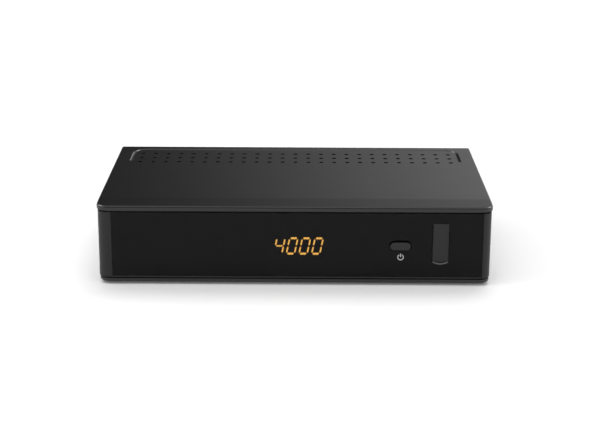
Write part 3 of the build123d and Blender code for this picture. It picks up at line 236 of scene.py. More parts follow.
def make_finishes():
    """One finish for each material slot of the record, and those that only the pieces here use.

    Real moulded and plated grain is mostly 0.02 to 0.1 mm and too fine to show. It is drawn at 0.15
    to 0.8 mm instead. The 6 mm of the window is the slow waviness of a polished sheet.
    """
    shade = colours()
    return {
        # ABS, moulded against a satin steel face: even dark sheen that lightens at a low angle.
        "lid_plastic": surface(
            "abs_satin_moulded", shade.lid, 18, (0.28, 0.31), 0.35, 0.003, change=0.04
        ),
        # ABS, moulded against a spark-eroded face: matt and grained, so edges show as soft lines.
        "base_plastic": surface("abs_grained_moulded", shade.base, 14, (0.46, 0.56), 0.35, 0.012),
        # ABS, moulded against a bead-blasted face: matt grey beside the gloss of the window.
        "frame_plastic": surface(
            "abs_matt_moulded", shade.front, 12, (0.42, 0.5), 0.3, 0.006, Specular_IOR_Level=0.22
        ),
        # Acrylic sheet, smoked and polished: near black, sharp reflections, digits show through.
        "smoked_window": surface(
            "acrylic_smoked_polished", shade.window, 30, (0.06, 0.1), 6.0, 0.0005,
            Alpha=0.88, Specular_IOR_Level=0.145, IOR=1.49,
        ),
        # Steel sheet, powder-coated: soft orange peel about 0.8 mm across.
        "panel_steel": surface(
            "steel_powder_coated", linear("2a2a2c"), 10, (0.42, 0.52), 0.8, 0.02
        ),
        # Rubber, moulded: dull and a little dusty.
        "foot_rubber": surface(
            "rubber_moulded", linear("222223"), 3, (0.75, 0.9), 0.3, 0.02, change=0.25
        ),
        # Steel, black oxide: dark metal with a slight oily sheen.
        "dark_screws": surface(
            "steel_black_oxide", linear("3c3c3e"), 1.0, (0.3, 0.42), 0.2, 0.004, Metallic=1.0
        ),
        # ABS, moulded against a fine face: the cap is a shade lighter than the window around it.
        "button_plastic": surface(
            "abs_button_moulded", linear("252526"), 6, (0.4, 0.48), 0.3, 0.005,
            Specular_IOR_Level=0.3,
        ),
        # ABS, moulded like the button: a plain grey door that stands out from the window.
        "flap_plastic": surface(
            "abs_flap_moulded", linear("212122"), 8, (0.42, 0.5), 0.3, 0.005,
            Specular_IOR_Level=0.3,
        ),
        # The same plastic, painted several shades lighter than the flap: a painted highlight, a
        # narrow bright line along the rest.
        "scoop_painted_highlight": surface("abs_rest_painted_highlight", linear("707071"), 4, (0.2, 0.26), 0.3, 0.002),
        # PBT polyester, moulded: semi-gloss black with flow patches.
        "black_insulator": surface(
            "pbt_black_moulded", linear("1d1d1e"), 4, (0.34, 0.46), 0.25, 0.006
        ),
        # Steel, zinc-plated: cool grey with a fine crystalline variation.
        "bright_steel": surface(
            "steel_zinc_plated", linear("c3c6ca"), 1.2, (0.24, 0.4), 0.15, 0.003, Metallic=1.0
        ),
        # Steel, blued: near black with a faint sheen, so the hinge does not show beside the flap.
        "blued_steel": surface(
            "steel_blued_pin", linear("2a2a2e"), 1, (0.4, 0.5), 0.2, 0.002, Metallic=0.7
        ),
        # Glass-epoxy laminate, solder-masked: green gloss with lines of tracks, inside the vents.
        "circuit_board": circuit_board(),
        # ABS, moulded for a display: dull black, so the unlit part of the window stays dark.
        "display_case": surface("abs_display_case", linear("1b1b1c"), 5, (0.5, 0.6), 0.3, 0.004),
        # Polycarbonate, moulded and lit: clear amber bars with a soft outline.
        "lit_amber": lit_diffuser(),
        # Polycarbonate, moulded and unlit: hardly lighter than its case.
        "unlit_segment": surface(
            "polycarbonate_unlit", linear("222120"), 2, (0.4, 0.5), 0.3, 0.003
        ),
        # Filter resin, moulded: very dark plum, glossy.
        "dark_resin": surface("epoxy_filter_resin", linear("1f171d"), 2, (0.12, 0.2), 0.5, 0.002),
        # Brass, nickel-plated: warm bright metal with light tool marks.
        "nickel_plate": surface(
            "brass_nickel_plated", linear("cfcac0"), 1.5, (0.16, 0.3), 0.2, 0.003, Metallic=1.0
        ),
        # PTFE, turned: waxy white inside the bright barrels.
        "white_insulator": surface(
            "ptfe_white_turned", linear("e4e2da"), 2, (0.4, 0.5), 0.2, 0.004, change=0.05
        ),
        # Polyester film, laminated over flat wires: pale, with ridges 0.6 mm apart along it.
        "ribbon_film": surface(
            "polyester_ribbon", linear("d8d8d4"), 1.0, (0.3, 0.4), 0.6, 0.02,
            stretch=(1, 0.02, 0.02),
        ),
        # Steel sheet, tin-plated: soft grey metal, clouded rather than mirror bright.
        "tinned_steel": surface(
            "steel_tin_plated", linear("b9bbbb"), 3, (0.28, 0.42), 0.3, 0.003,
            Metallic=1.0, change=0.08,
        ),
        # Epoxy, moulded round a chip: flat dark grey with a sandy face.
        "chip_resin": surface("epoxy_chip_moulded", linear("242425"), 2, (0.5, 0.62), 0.15, 0.006),
        # Aluminium, extruded and black anodised: satin metal with drawn lines along its length.
        "black_aluminium": surface(
            "aluminium_black_anodised", linear("303033"), 4, (0.36, 0.46), 0.3, 0.004,
            stretch=(1, 0.06, 1), Metallic=0.8,
        ),
        # Ferrite, pressed and sintered: dull grey, rough as unglazed ceramic.
        "coil_ferrite": surface("ferrite_sintered", linear("3a3a3c"), 1, (0.6, 0.75), 0.2, 0.02),
        # PVC film, shrunk on: glossy dark blue with slight waves.
        "capacitor_sleeve": surface(
            "pvc_sleeve_shrunk", linear("1c2140"), 3, (0.25, 0.35), 0.8, 0.006
        ),
        # Bronze, gold-flashed: warm yellow contacts, the brightest points of the rear.
        "gold_plate": surface(
            "bronze_gold_flashed", linear("d9b45c"), 1.0, (0.2, 0.3), 0.2, 0.002, Metallic=1.0
        ),
        # Nylon, moulded in the orange of digital audio: deep even colour, semi-gloss.
        "orange_insulator": surface(
            "nylon_orange_moulded", linear("d9651c"), 2, (0.38, 0.46), 0.3, 0.005
        ),
        # Nylon, moulded against a satin face: black key a little lighter than its frame.
        "rocker_plastic": surface(
            "nylon_black_satin", linear("232324"), 3, (0.36, 0.44), 0.3, 0.005
        ),
        # Ink, screen-printed: flat light grey, slightly raised and dull.
        "printed_ink": surface(
            "ink_screen_printed", shade.ink, 1.0, (0.5, 0.6), 0.15, 0.002, change=0.05
        ),
    }


# ---- Mesh helpers ----
def new_object(name, data):
    """Object at the origin that holds some data, in the scene."""
    made = bpy.data.objects.new(name, data)
    bpy.context.scene.collection.objects.link(made)
    return made


def mesh_data(name, mesh):
    """Stored copy of a mesh, which is used up."""
    data = bpy.data.meshes.new(name)
    mesh.normal_update()
    mesh.to_mesh(data)
    mesh.free()
    return data


def piece(name, mesh, body, slot, *nodes, flat=False, finish=None):
    """Finished object: its mesh in place, its finish, its body and the solids it stands for."""
    made = new_object(name, mesh_data(name, mesh))
    data = made.data
    data.materials.append(FINISHES[finish or slot])
    if not flat:
        for face in data.polygons:
            face.use_smooth = True
        data.set_sharp_from_angle(angle=CREASE)
        made.modifiers.new("even_normals", "WEIGHTED_NORMAL").keep_sharp = True
    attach(made, body)
    if nodes:
        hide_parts(*nodes)


def box_mesh(low, high):
    """Closed box between two corners, in metres."""
    mesh = bmesh.new()
    bmesh.ops.create_cube(mesh, size=1)
    low, high = Vector(low), Vector(high)
    bmesh.ops.scale(mesh, vec=high - low, verts=mesh.verts)
    bmesh.ops.translate(mesh, vec=(low + high) / 2, verts=mesh.verts)
    return mesh


def round_edges(mesh, edges, radius, segments=3, clamp=True):
    """Rounds edges to a radius, in metres."""
    bmesh.ops.bevel(
        mesh, geom=list(dict.fromkeys(edges)), offset=radius, segments=segments, profile=0.5,
        affect="EDGES", material=-1, clamp_overlap=clamp,
    )


def edges_along(mesh, axis):
    """Edges that run along an axis, 0 to 2 for X to Z."""
    lines = [(e, (e.verts[1].co - e.verts[0].co).normalized()) for e in mesh.edges]
    return [e for e, line in lines if abs(line[axis]) > 0.999]


def edges_at(mesh, axis, place, least=50):
    """Edges in a plane across an axis that fold by more than some degrees."""
    mesh.normal_update()
    flat = [e for e in mesh.edges if all(abs(v.co[axis] - place) < 1e-5 for v in e.verts)]
    return [e for e in flat if len(e.link_faces) == 2 and e.calc_face_angle() > radians(least)]


def folds(mesh):
    """Edges anywhere that fold by more than 50 degrees."""
    mesh.normal_update()
    return [e for e in mesh.edges if len(e.link_faces) == 2 and e.calc_face_angle() > radians(50)]


def bar(low, high, radius, segments):
    """Box whose edges along Y are rounded; a radius of half its height gives round ends."""
    mesh = box_mesh(low, high)
    just_short = radius * 0.9999  # so that two arcs that make a round end don't cross
    round_edges(mesh, edges_along(mesh, 1), just_short, segments)
    bmesh.ops.remove_doubles(mesh, verts=mesh.verts, dist=2e-6)
    return mesh


def lathe(profile, centre, axis=2, steps=48):
    """Closed turned solid about an axis through a point, from a profile listed end to end.

    The profile has (radius, place on the axis) pairs in metres, and 0 to 2 stand for X to Z.
    """
    mesh = bmesh.new()
    along = Vector([float(place == axis) for place in range(3)])
    out = Vector((1, 0, 0)) if axis == 2 else Vector((0, 0, 1))
    centre = Vector(centre)
    centre[axis] = 0
    verts = [mesh.verts.new(centre + along * place + out * radius) for radius, place in profile]
    if profile[0][0] and profile[-1][0]:
        verts.append(verts[0])
    edges = [mesh.edges.new(pair) for pair in zip(verts, verts[1:])]
    bmesh.ops.spin(
        mesh, geom=list(dict.fromkeys(verts)) + edges, cent=centre, axis=along, angle=2 * pi,
        steps=steps, use_merge=True, use_duplicate=False,
    )
    bmesh.ops.remove_doubles(mesh, verts=mesh.verts, dist=1e-6)
    bmesh.ops.recalc_face_normals(mesh, faces=mesh.faces)
    return mesh


def rod(radius, start, end, centre, axis, steps=48, ease=0):
    """Cylinder between two places on an axis; an ease cuts back the edge of its far end."""
    rim = [(radius, end - ease), (radius - ease, end)] if ease else [(radius, end)]
    return lathe([(0, start), (radius, start), *rim, (0, end)], centre, axis, steps)


def scaled(pairs, across, start, up=MM):
    """Profile from pairs: radii times one size, places times another and counted from a start."""
    return [(radius * across, start + place * up) for radius, place in pairs]


def cored(outer, bore, start, deep, end, ease, mouth):
    """Profile of a disc with a blind hole from its far end, both edges there cut back."""
    rim = [(outer, end - ease), (outer - ease, end), (bore + mouth, end), (bore, end - mouth)]
    return [(0, start), (outer, start), *rim, (bore, deep), (0, deep)]


def extrude(mesh, faces, vec):
    """Draws faces out along a vector and returns the faces at the new end."""
    made = bmesh.ops.extrude_face_region(mesh, geom=faces)["geom"]
    verts = [v for v in made if isinstance(v, bmesh.types.BMVert)]
    bmesh.ops.translate(mesh, verts=verts, vec=vec)
    return [f for f in made if isinstance(f, bmesh.types.BMFace)]


def join(mesh, other):
    """Adds a second mesh to the first; the second is used up."""
    data = mesh_data("joined", other)
    mesh.from_mesh(data)
    bpy.data.meshes.remove(data)


def cut(target, cutter, operation="DIFFERENCE"):
    """Combines a closed mesh with another and returns the result; both inputs are used up."""
    objects = [
        new_object(name, mesh_data(name, mesh))
        for name, mesh in (("cut_target", target), ("cut_tool", cutter))
    ]
    modifier = objects[0].modifiers.new("combine", "BOOLEAN")
    modifier.operation = operation
    modifier.object = objects[1]
    modifier.solver = "EXACT"
    shown = objects[0].evaluated_get(bpy.context.evaluated_depsgraph_get())
    result = bmesh.new()
    result.from_mesh(shown.to_mesh())
    for made in objects:
        data = made.data
        bpy.data.objects.remove(made)
        bpy.data.meshes.remove(data)
    return result


def merged_copy(node):
    """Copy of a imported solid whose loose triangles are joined."""
    mesh = bmesh.new()
    mesh.from_mesh(NODES[node].data)
    bmesh.ops.remove_doubles(mesh, verts=mesh.verts, dist=1e-6)
    return mesh


def solid_copy(node):
    """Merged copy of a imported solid, ready to be worked on."""
    mesh = merged_copy(node)
    bmesh.ops.dissolve_limit(mesh, angle_limit=radians(0.5), verts=mesh.verts, edges=mesh.edges)
    return mesh


def solids_of(node):
    """Lowest and highest corners of each separate solid of a node."""
    mesh = merged_copy(node)
    left, found = set(mesh.verts), []
    while left:
        group, reached = [], [left.pop()]
        while reached:
            vert = reached.pop()
            group.append(vert.co.copy())
            near = {e.other_vert(vert) for e in vert.link_edges} & left
            left -= near
            reached += near
        low = Vector([min(place[axis] for place in group) for axis in range(3)])
        high = Vector([max(place[axis] for place in group) for axis in range(3)])
        found.append((low, high))
    mesh.free()
    return sorted(found, key=lambda corners: tuple(corners[0]))


def eased(name, node, radius, body="housing", segments=2):
    """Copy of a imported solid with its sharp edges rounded; the radius is in millimetres."""
    mesh = solid_copy(node)
    round_edges(mesh, folds(mesh), radius * MM, segments)
    piece(name, mesh, body, SLOT_OF[node], node)


def on_outline(point, inset):
    """True where a point lies on the housing's outline, drawn in by an inset."""
    corner = sizes().corner
    low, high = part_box("top_cover")
    across = abs(point.x) - (high.x - corner)
    along = max(low.y + corner - point.y, point.y - high.y + corner)
    reach = hypot(across, along) if min(across, along) > 0 else max(across, along)
    tolerance = 0.06 * MM
    return abs(reach - (corner - inset)) < tolerance


# ---- Lid ----
def lid_outline(low, high):
    """Box with the lid's corners, between two corners."""
    mesh = box_mesh(low, high)
    front = [e for e in edges_along(mesh, 2) if e.verts[0].co.y < 0]
    round_edges(mesh, front, sizes().corner, 14)
    back = [e for e in edges_along(mesh, 2) if e.verts[0].co.y > high[1] - 1e-6]
    round_edges(mesh, back, sizes().rear_corner, 6)
    return mesh


def let_front_fall(mesh, crease, top):
    """Turns the front strip of the lid's top down about a soft crease."""
    size = sizes()
    crease_radius = 1.2 * MM
    geometry = mesh.verts[:] + mesh.edges[:] + mesh.faces[:]
    bmesh.ops.bisect_plane(mesh, geom=geometry, plane_co=(0, crease, 0), plane_no=(0, 1, 0))
    strip = [v for v in mesh.verts if v.co.z > top - 1e-6 and v.co.y < crease - 1e-6]
    down = Matrix.Rotation(size.fall / size.fall_depth, 3, "X")
    bmesh.ops.rotate(mesh, verts=strip, cent=(0, crease, top), matrix=down)
    mesh.normal_update()
    fold = [e for e in edges_along(mesh, 0) if all(f.normal.z > 0.9 for f in e.link_faces)]
    round_edges(mesh, fold, crease_radius, 3)
    mesh.normal_update()


def vent_tools():
    """Flared drills for the field of vents."""
    size = sizes()
    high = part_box("top_cover")[1]
    below, above = high.z - size.lid_plate - MM, high.z + MM
    flare = high.z - 0.08 * MM  # where a vent starts to open towards its mouth
    profile = [(0, below), (size.vent, below), (size.vent, flare)]
    profile += [(size.vent_mouth, high.z), (size.vent_mouth, above), (0, above)]
    mesh = bmesh.new()
    for row in range(size.vent_rows):
        for column in range(size.vent_columns):
            x = (column - (size.vent_columns - 1) / 2) * size.vent_pitch_x
            y = high.y - size.vent_margin - row * size.vent_pitch_y
            join(mesh, lathe(profile, (x, y, 0), steps=20))
    return mesh


def groove_tool():
    """V-shaped cutter that follows the U around the vents."""
    size = sizes()
    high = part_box("top_cover")[1]
    side, back = high.x - size.groove_side, high.y - size.groove_back
    arm, bend = size.groove_arm, size.groove_bend
    mesh = bmesh.new()
    bmesh.ops.create_circle(mesh, cap_ends=True, radius=size.groove_half, segments=4)
    bmesh.ops.rotate(mesh, verts=mesh.verts, cent=(0, 0, 0), matrix=Matrix.Rotation(pi / 2, 3, "X"))
    bmesh.ops.translate(mesh, verts=mesh.verts, vec=(-side, back - arm, high.z))
    end = mesh.faces[:]

    def turn(cent):
        made = bmesh.ops.spin(
            mesh, geom=end, cent=cent, axis=(0, 0, 1), angle=-pi / 2, steps=10, use_duplicate=False
        )
        return [f for f in made["geom_last"] if isinstance(f, bmesh.types.BMFace)]

    end = extrude(mesh, end, (0, arm - bend, 0))
    end = turn((bend - side, back - bend, high.z))
    end = extrude(mesh, end, (2 * (side - bend), 0, 0))
    end = turn((side - bend, back - bend, high.z))
    extrude(mesh, end, (0, bend - arm, 0))
    inside = [f for f in mesh.faces if all(len(e.link_faces) > 2 for e in f.edges)]
    bmesh.ops.delete(mesh, geom=inside, context="FACES_ONLY")
    bmesh.ops.recalc_face_normals(mesh, faces=mesh.faces)
    return mesh


def lid_bosses():
    """Screw bosses under the lid, each over one of the case screws."""
    low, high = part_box("top_cover")
    plate = high.z - sizes().lid_plate + OVERLAP
    bore, outer = 1.55 * MM, 3.6 * MM
    mesh = bmesh.new()
    for screw_low, screw_high in solids_of("case_screws"):
        middle, pilot = (screw_low + screw_high) / 2, screw_high.z + MM
        profile = [(0, pilot), (bore, pilot), (bore, low.z)]
        profile += [(outer, low.z), (outer, plate), (0, plate)]
        join(mesh, lathe(profile, middle, steps=32))
    return mesh


def lid_tabs():
    """Locating tabs that hang inside the tops of the walls."""
    low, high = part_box("top_cover")
    top = high.z - sizes().lid_plate + OVERLAP
    half, thickness, foot = 6 * MM, 1.4 * MM, top - 4.05 * MM
    side_inset, front_inset, setbacks = 3.1 * MM, 3.9 * MM, (34 * MM, 80 * MM)
    mesh = bmesh.new()
    for side in (-1, 1):
        wall = side * (high.x - side_inset)
        left, right = sorted((wall, wall - side * thickness))
        for setback in setbacks:
            y = high.y - setback
            join(mesh, box_mesh((left, y - half, foot), (right, y + half, top)))
        x, y = side * high.x / 2, low.y + front_inset
        join(mesh, box_mesh((x - half, y, foot), (x + half, y + thickness, top)))
    return mesh


def make_lid():
    """Lid: fallen front, rounded edges, hollow underside, vents, groove, tabs and bosses."""
    size = sizes()
    low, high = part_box("top_cover")
    lip_low, lip_ease = high.z - size.lip_height, 0.15 * MM
    mesh = lid_outline((low.x, low.y, lip_low), high)
    let_front_fall(mesh, low.y + size.fall_depth, high.z)
    rim = [e for e in mesh.edges if sum(f.normal.z > 0.9 for f in e.link_faces) == 1]
    round_edges(mesh, rim, size.lid_edge, 5)
    round_edges(mesh, edges_at(mesh, 2, lip_low), lip_ease, 2)
    bottom = [f for f in mesh.faces if f.normal.z < -0.99]
    bmesh.ops.inset_region(mesh, faces=bottom, thickness=size.lip_width, use_even_offset=True)
    extrude(mesh, bottom, (0, 0, high.z - size.lid_plate - lip_low))
    bmesh.ops.delete(mesh, geom=bottom, context="FACES")
    bmesh.ops.recalc_face_normals(mesh, faces=mesh.faces)
    mesh = cut(mesh, vent_tools())
    mesh = cut(mesh, groove_tool())
    mesh = cut(mesh, lid_tabs(), "UNION")
    mesh = cut(mesh, lid_bosses(), "UNION")
    piece("lid_shell", mesh, "housing", "lid_plastic", "top_cover")


# ---- Base and front ----
def sink(mesh, height):
    """Lowers a level of the shadow gap so that more of the sill shows above it."""
    level = [v for v in mesh.verts if abs(v.co.z - height) < 1e-5]
    bmesh.ops.translate(mesh, vec=(0, 0, -sizes().gap_drop), verts=level)


def make_base():
    """Tray with the rim's top edge and bottom edge rounded all the way round."""
    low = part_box("base_tray")[0]
    inset, rim, gap, chamfer = 0.8 * MM, low.z + 2.7 * MM, 0.6 * MM, low.z + 0.8 * MM
    mesh = solid_copy("base_tray")
    for height in (rim, rim + gap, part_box("window_panel")[1].z):
        sink(mesh, height)
    edges = edges_at(mesh, 2, rim - sizes().gap_drop) + edges_at(mesh, 2, chamfer, 30)
    outer = [e for e in edges if on_outline(e.verts[0].co, inset)]
    round_edges(mesh, outer, SOFT_EDGE, 3, clamp=False)
    piece("base_shell", mesh, "housing", "base_plastic", "base_tray")


def window_sides():
    """Left and right edges of the window, which sits a little towards the port."""
    low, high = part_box("window_panel")
    return low.x + sizes().window_left, high.x + sizes().window_right


def port_place():
    """Middle of the port on X, half its width, and the bottom and top of its straight sides."""
    low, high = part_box("port_flap")
    gap, x = sizes().port_gap, (low.x + high.x) / 2
    return x, high.x + gap - x, low.z, high.z + 2 * gap


def scoop_radius():
    """Radius of the arc that is as wide as the port and as deep as the scoop."""
    half, scoop = port_place()[1], sizes().port_scoop
    return (half**2 + scoop**2) / (2 * scoop)


def button_cap_box():
    """Corners of the button's cap, in the window's plane."""
    low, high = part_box("power_button")
    flange = 1.2 * MM
    return (low.x + flange, low.z + flange), (high.x - flange, high.z - flange)


def button_opening(front, back):
    """Round-ended cutter for the button's opening, with most of its play above the cap."""
    (left, bottom), (right, top) = button_cap_box()
    gap = sizes().button_gap
    bottom, top = bottom + 0.3 * gap, top + 2.6 * gap
    return bar((left - gap, front, bottom), (right + gap, back, top), (top - bottom) / 2, 16)


def make_front():
    """Frame with rounded edges at the shadow gaps, fitted to the flap, button and window."""
    window_low, window_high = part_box("window_panel")
    face, back = window_low.y, window_high.y
    inset, sill, wall_back, room_over = 0.5 * MM, 0.6 * MM, back + 2.1 * MM, 0.6 * MM
    mesh = solid_copy("front_frame")
    for height in (window_low.z - sill, window_high.z):
        sink(mesh, height)
    bottom, top = [z - sizes().gap_drop for z in (window_low.z - sill, window_high.z)]
    edges = edges_at(mesh, 2, bottom) + edges_at(mesh, 2, top)
    outer = [e for e in edges if all(on_outline(v.co, inset) for v in e.verts)]
    round_edges(mesh, outer, SOFT_EDGE, 3, clamp=False)
    x, half, _, port_high = port_place()
    head_room = (x - half, back - MM, port_high - MM), (x + half, wall_back, port_high + room_over)
    mesh = cut(mesh, box_mesh(*head_room))
    mesh = cut(mesh, button_opening(back - MM, wall_back))
    left, right = window_sides()
    start = (window_low.x - 0.5 * MM, face, window_low.z - 0.2 * MM)
    fill = box_mesh(start, (left - WINDOW_FIT, back + 0.2 * MM, top))
    mesh = cut(mesh, fill, "UNION")
    start = (window_high.x - MM, face - MM, window_low.z - WINDOW_FIT)
    room = box_mesh(start, (right + WINDOW_FIT, back - 0.03 * MM, top + MM))
    mesh = cut(mesh, room)
    piece("front_shell", mesh, "housing", "frame_plastic", "front_frame")


def below(mesh, height):
    """Keeps what lies under a height and closes the cut."""
    geometry = mesh.verts[:] + mesh.edges[:] + mesh.faces[:]
    bmesh.ops.bisect_plane(
        mesh, geom=geometry, plane_co=(0, 0, height), plane_no=(0, 0, 1), clear_outer=True
    )
    bmesh.ops.holes_fill(mesh, edges=[e for e in mesh.edges if e.is_boundary], sides=0)
    bmesh.ops.recalc_face_normals(mesh, faces=mesh.faces)
    return mesh


def make_window():
    """Smoked sheet with the button's and the port's openings, edges just broken."""
    low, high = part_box("window_panel")
    front, behind = low.y - MM, high.y + MM
    left, right = window_sides()
    start = (left - WINDOW_FIT, low.y, low.z - WINDOW_FIT)
    mesh = box_mesh(start, (right + WINDOW_FIT, high.y - 0.04 * MM, high.z - sizes().gap_drop))
    mesh = cut(mesh, button_opening(front, behind))
    x, half, port_low, port_high = port_place()
    mesh = cut(mesh, box_mesh((x - half, front, port_low), (x + half, behind, port_high)))
    relief = box_mesh((x - half, 0, -MM), (x + half, 2 * MM, 0))
    lean = Matrix.Identity(4)
    lean[2][1] = 0.3  # the top of the port rises behind its edge, to clear the flap's head
    placed = Matrix.Translation((0, low.y, port_high)) @ lean
    bmesh.ops.transform(relief, matrix=placed, verts=relief.verts)
    mesh = cut(mesh, relief)
    middle = (x, 0, port_low + scoop_radius() - sizes().port_scoop)
    scoop = rod(scoop_radius(), front, behind, middle, 1, 128)
    mesh = cut(mesh, below(scoop, port_low + 0.01 * MM))
    round_edges(mesh, edges_at(mesh, 1, low.y), 0.1 * MM, 2)
    piece("window_sheet", mesh, "housing", "smoked_window", "window_panel")


def make_port_scoop():
    """Lip for a fingertip under the flap, lining the rounded end of the opening."""
    low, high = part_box("window_panel")
    x, _, port_low, _ = port_place()
    radius, inside = scoop_radius() - 0.03 * MM, 0.02 * MM
    face, deep = low.y + inside, high.y - inside
    lip, ease = 0.34 * MM, 0.12 * MM
    slope = [(radius, face), (radius, deep), (radius - lip, deep)]
    slope += [(radius - lip, face + ease), (radius - lip + ease, face)]
    mesh = lathe(slope, (x, 0, port_low + scoop_radius() - sizes().port_scoop), 1, 160)
    mesh = below(mesh, port_low)
    # the lip's finish is painted lighter than the flap beside it, a painted highlight along the
    # rounded end
    piece("port_scoop", mesh, "housing", "flap_plastic", finish="scoop_painted_highlight")


def make_power_mark():
    """Printed ring with a gap and a short bar, a hair proud of the window."""
    size = sizes()
    button_low, button_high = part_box("power_button")
    x = (button_low.x + button_high.x) / 2 + 0.15 * MM
    z = (button_low.z + button_high.z) / 2 - 6.2 * MM
    face, proud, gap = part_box("window_panel")[0].y, 0.03 * MM, radians(28)
    line = size.mark_line / 2
    inner, outer = size.mark_radius - line, size.mark_radius + line
    corners = [(inner, 0), (outer, 0), (outer, -proud), (inner, -proud)]
    mesh = bmesh.new()
    verts = [mesh.verts.new((x + r * sin(gap), face + y, z + r * cos(gap))) for r, y in corners]
    start = mesh.faces.new(verts)
    bmesh.ops.spin(
        mesh, geom=[start], cent=(x, face, z), axis=(0, 1, 0), angle=2 * (pi - gap), steps=40,
        use_duplicate=False,
    )
    bmesh.ops.recalc_face_normals(mesh, faces=mesh.faces)
    foot, head = z + 0.1 * MM, z + outer + 0.45 * MM
    join(mesh, box_mesh((x - line, face - proud, foot), (x + line, face, head)))
    piece("power_mark", mesh, "housing", "printed_ink", flat=True)


# Each bar's place in a digit, across and upwards, and the bars lit in each of the four digits.
BARS = {
    "a": (0, 2), "b": (1, 1), "c": (1, -1), "d": (0, -2), "e": (-1, -1), "f": (-1, 1), "g": (0, 0),
}
SHOWN = ("bcfg", "abcdef", "abcdef", "abcdef")


def digit_bar(side, step):
    """Round-ended bar at a place in a digit: side -1, 0 or 1 across, step -2 to 2 upwards."""
    size = sizes()
    low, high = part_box("lit_segments")
    x, z = side * size.digit_width / 2, step * size.digit_height / 4
    if side:
        z -= step * 0.1 * MM
        half_x, half_z = 0.4 * MM, 1.68 * MM
    else:
        half_x, half_z = 1.75 * MM, (0.55 if step else 0.38) * MM
    start, end = (x - half_x, low.y, z - half_z), (x + half_x, high.y, z + half_z)
    return bar(start, end, min(half_x, half_z), 4)


def make_digits():
    """Slanted bars of the display's digits, those that are lit and those that are not."""
    size = sizes()
    low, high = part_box("display_module")
    middle = Vector(((low.x + high.x) / 2 - 0.2 * MM, 0, (low.z + high.z) / 2 - 0.38 * MM))
    lean = Matrix.Identity(4)
    lean[0][2] = tan(size.digit_slant)
    kinds = (("lit_bars", "lit_segments", True), ("unlit_bars", "unlit_segments", False))
    for name, node, lit in kinds:
        mesh = bmesh.new()
        for digit, shown in enumerate(SHOWN):
            one = bmesh.new()
            for bar_name, place in BARS.items():
                if (bar_name in shown) == lit:
                    join(one, digit_bar(*place))
            along = Vector(((digit - 1.5) * size.digit_pitch, 0, 0))
            placed = Matrix.Translation(middle + along) @ lean
            bmesh.ops.transform(one, matrix=placed, verts=one.verts)
            join(mesh, one)
        piece(name, mesh, "housing", SLOT_OF[node], node, flat=True)


# ---- Controls ----
def make_button():
    """Round-ended cap with a soft front edge, its flange behind the frame and its stem."""
    low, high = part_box("power_button")
    shy, ease = sizes().button_shy, 0.2 * MM
    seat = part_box("window_panel")[1].y + 2.05 * MM  # just behind the frame's front wall
    (left, bottom), (right, top) = button_cap_box()
    left, bottom, right, top = left + shy, bottom + 1.2 * shy, right - shy, top - 0.4 * shy
    mesh = bar((left, low.y, bottom), (right, seat, top), (top - bottom) / 2, 16)
    round_edges(mesh, edges_at(mesh, 1, low.y), 0.35 * MM, 4)
    flange = bar((low.x, seat, low.z), (high.x, seat + 0.8 * MM, high.z), 2 * MM, 5)
    mesh = cut(mesh, flange, "UNION")
    middle = ((left + right) / 2, 0, (bottom + top) / 2)
    stem = rod(1.6 * MM, seat + 0.45 * MM, high.y, middle, 1, 24, ease)
    mesh = cut(mesh, stem, "UNION")
    piece("button_cap", mesh, "power_button", "button_plastic", "power_button")


def make_flap():
    """Door with a rolled top edge, softened edges all round and its steel pin."""
    low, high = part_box("port_flap")
    pin_low, pin_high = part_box("flap_pin")
    y, z = (pin_low.y + pin_high.y) / 2, (pin_low.z + pin_high.z) / 2
    port_low, port_high = port_place()[2:]
    gap, thickness, bore = sizes().port_gap, 1.1 * MM, 0.55 * MM
    foot_z, head_z = port_low + 1.5 * gap, port_high - gap / 3
    mesh = box_mesh((low.x, low.y, foot_z), (high.x, low.y + thickness, z))
    head = box_mesh((low.x, low.y, z - MM), (high.x, y, head_z))
    crown = {v for v in head.verts if v.co.y < y - 1e-5 and v.co.z > z}
    round_edges(head, [e for e in edges_along(head, 0) if crown.issuperset(e.verts)], 0.35 * MM, 4)
    mesh = cut(mesh, head, "UNION")
    mesh = cut(mesh, rod(y - low.y, low.x, high.x, (0, y, z), 0), "UNION")
    mesh = cut(mesh, rod(bore, low.x - MM, high.x + MM, (0, y, z), 0, 24))
    bmesh.ops.dissolve_limit(mesh, angle_limit=radians(0.5), verts=mesh.verts, edges=mesh.edges)
    ends = edges_at(mesh, 0, low.x) + edges_at(mesh, 0, high.x)
    sides = [e for e in ends if e.verts[0].co.y < y]
    round_edges(mesh, sides + edges_at(mesh, 2, foot_z), 0.2 * MM, 2)
    piece("flap_door", mesh, "port_flap", "flap_plastic", "port_flap")
    radius, ease = (pin_high.y - pin_low.y) / 2, 0.1 * MM
    profile = [(0, pin_low.x), (radius - ease, pin_low.x), (radius, pin_low.x + ease)]
    profile += [(radius, pin_high.x - ease), (radius - ease, pin_high.x), (0, pin_high.x)]
    pin = lathe(profile, (0, y, z), 0, 24)
    piece("hinge_pin", pin, "housing", "bright_steel", "flap_pin", finish="blued_steel")


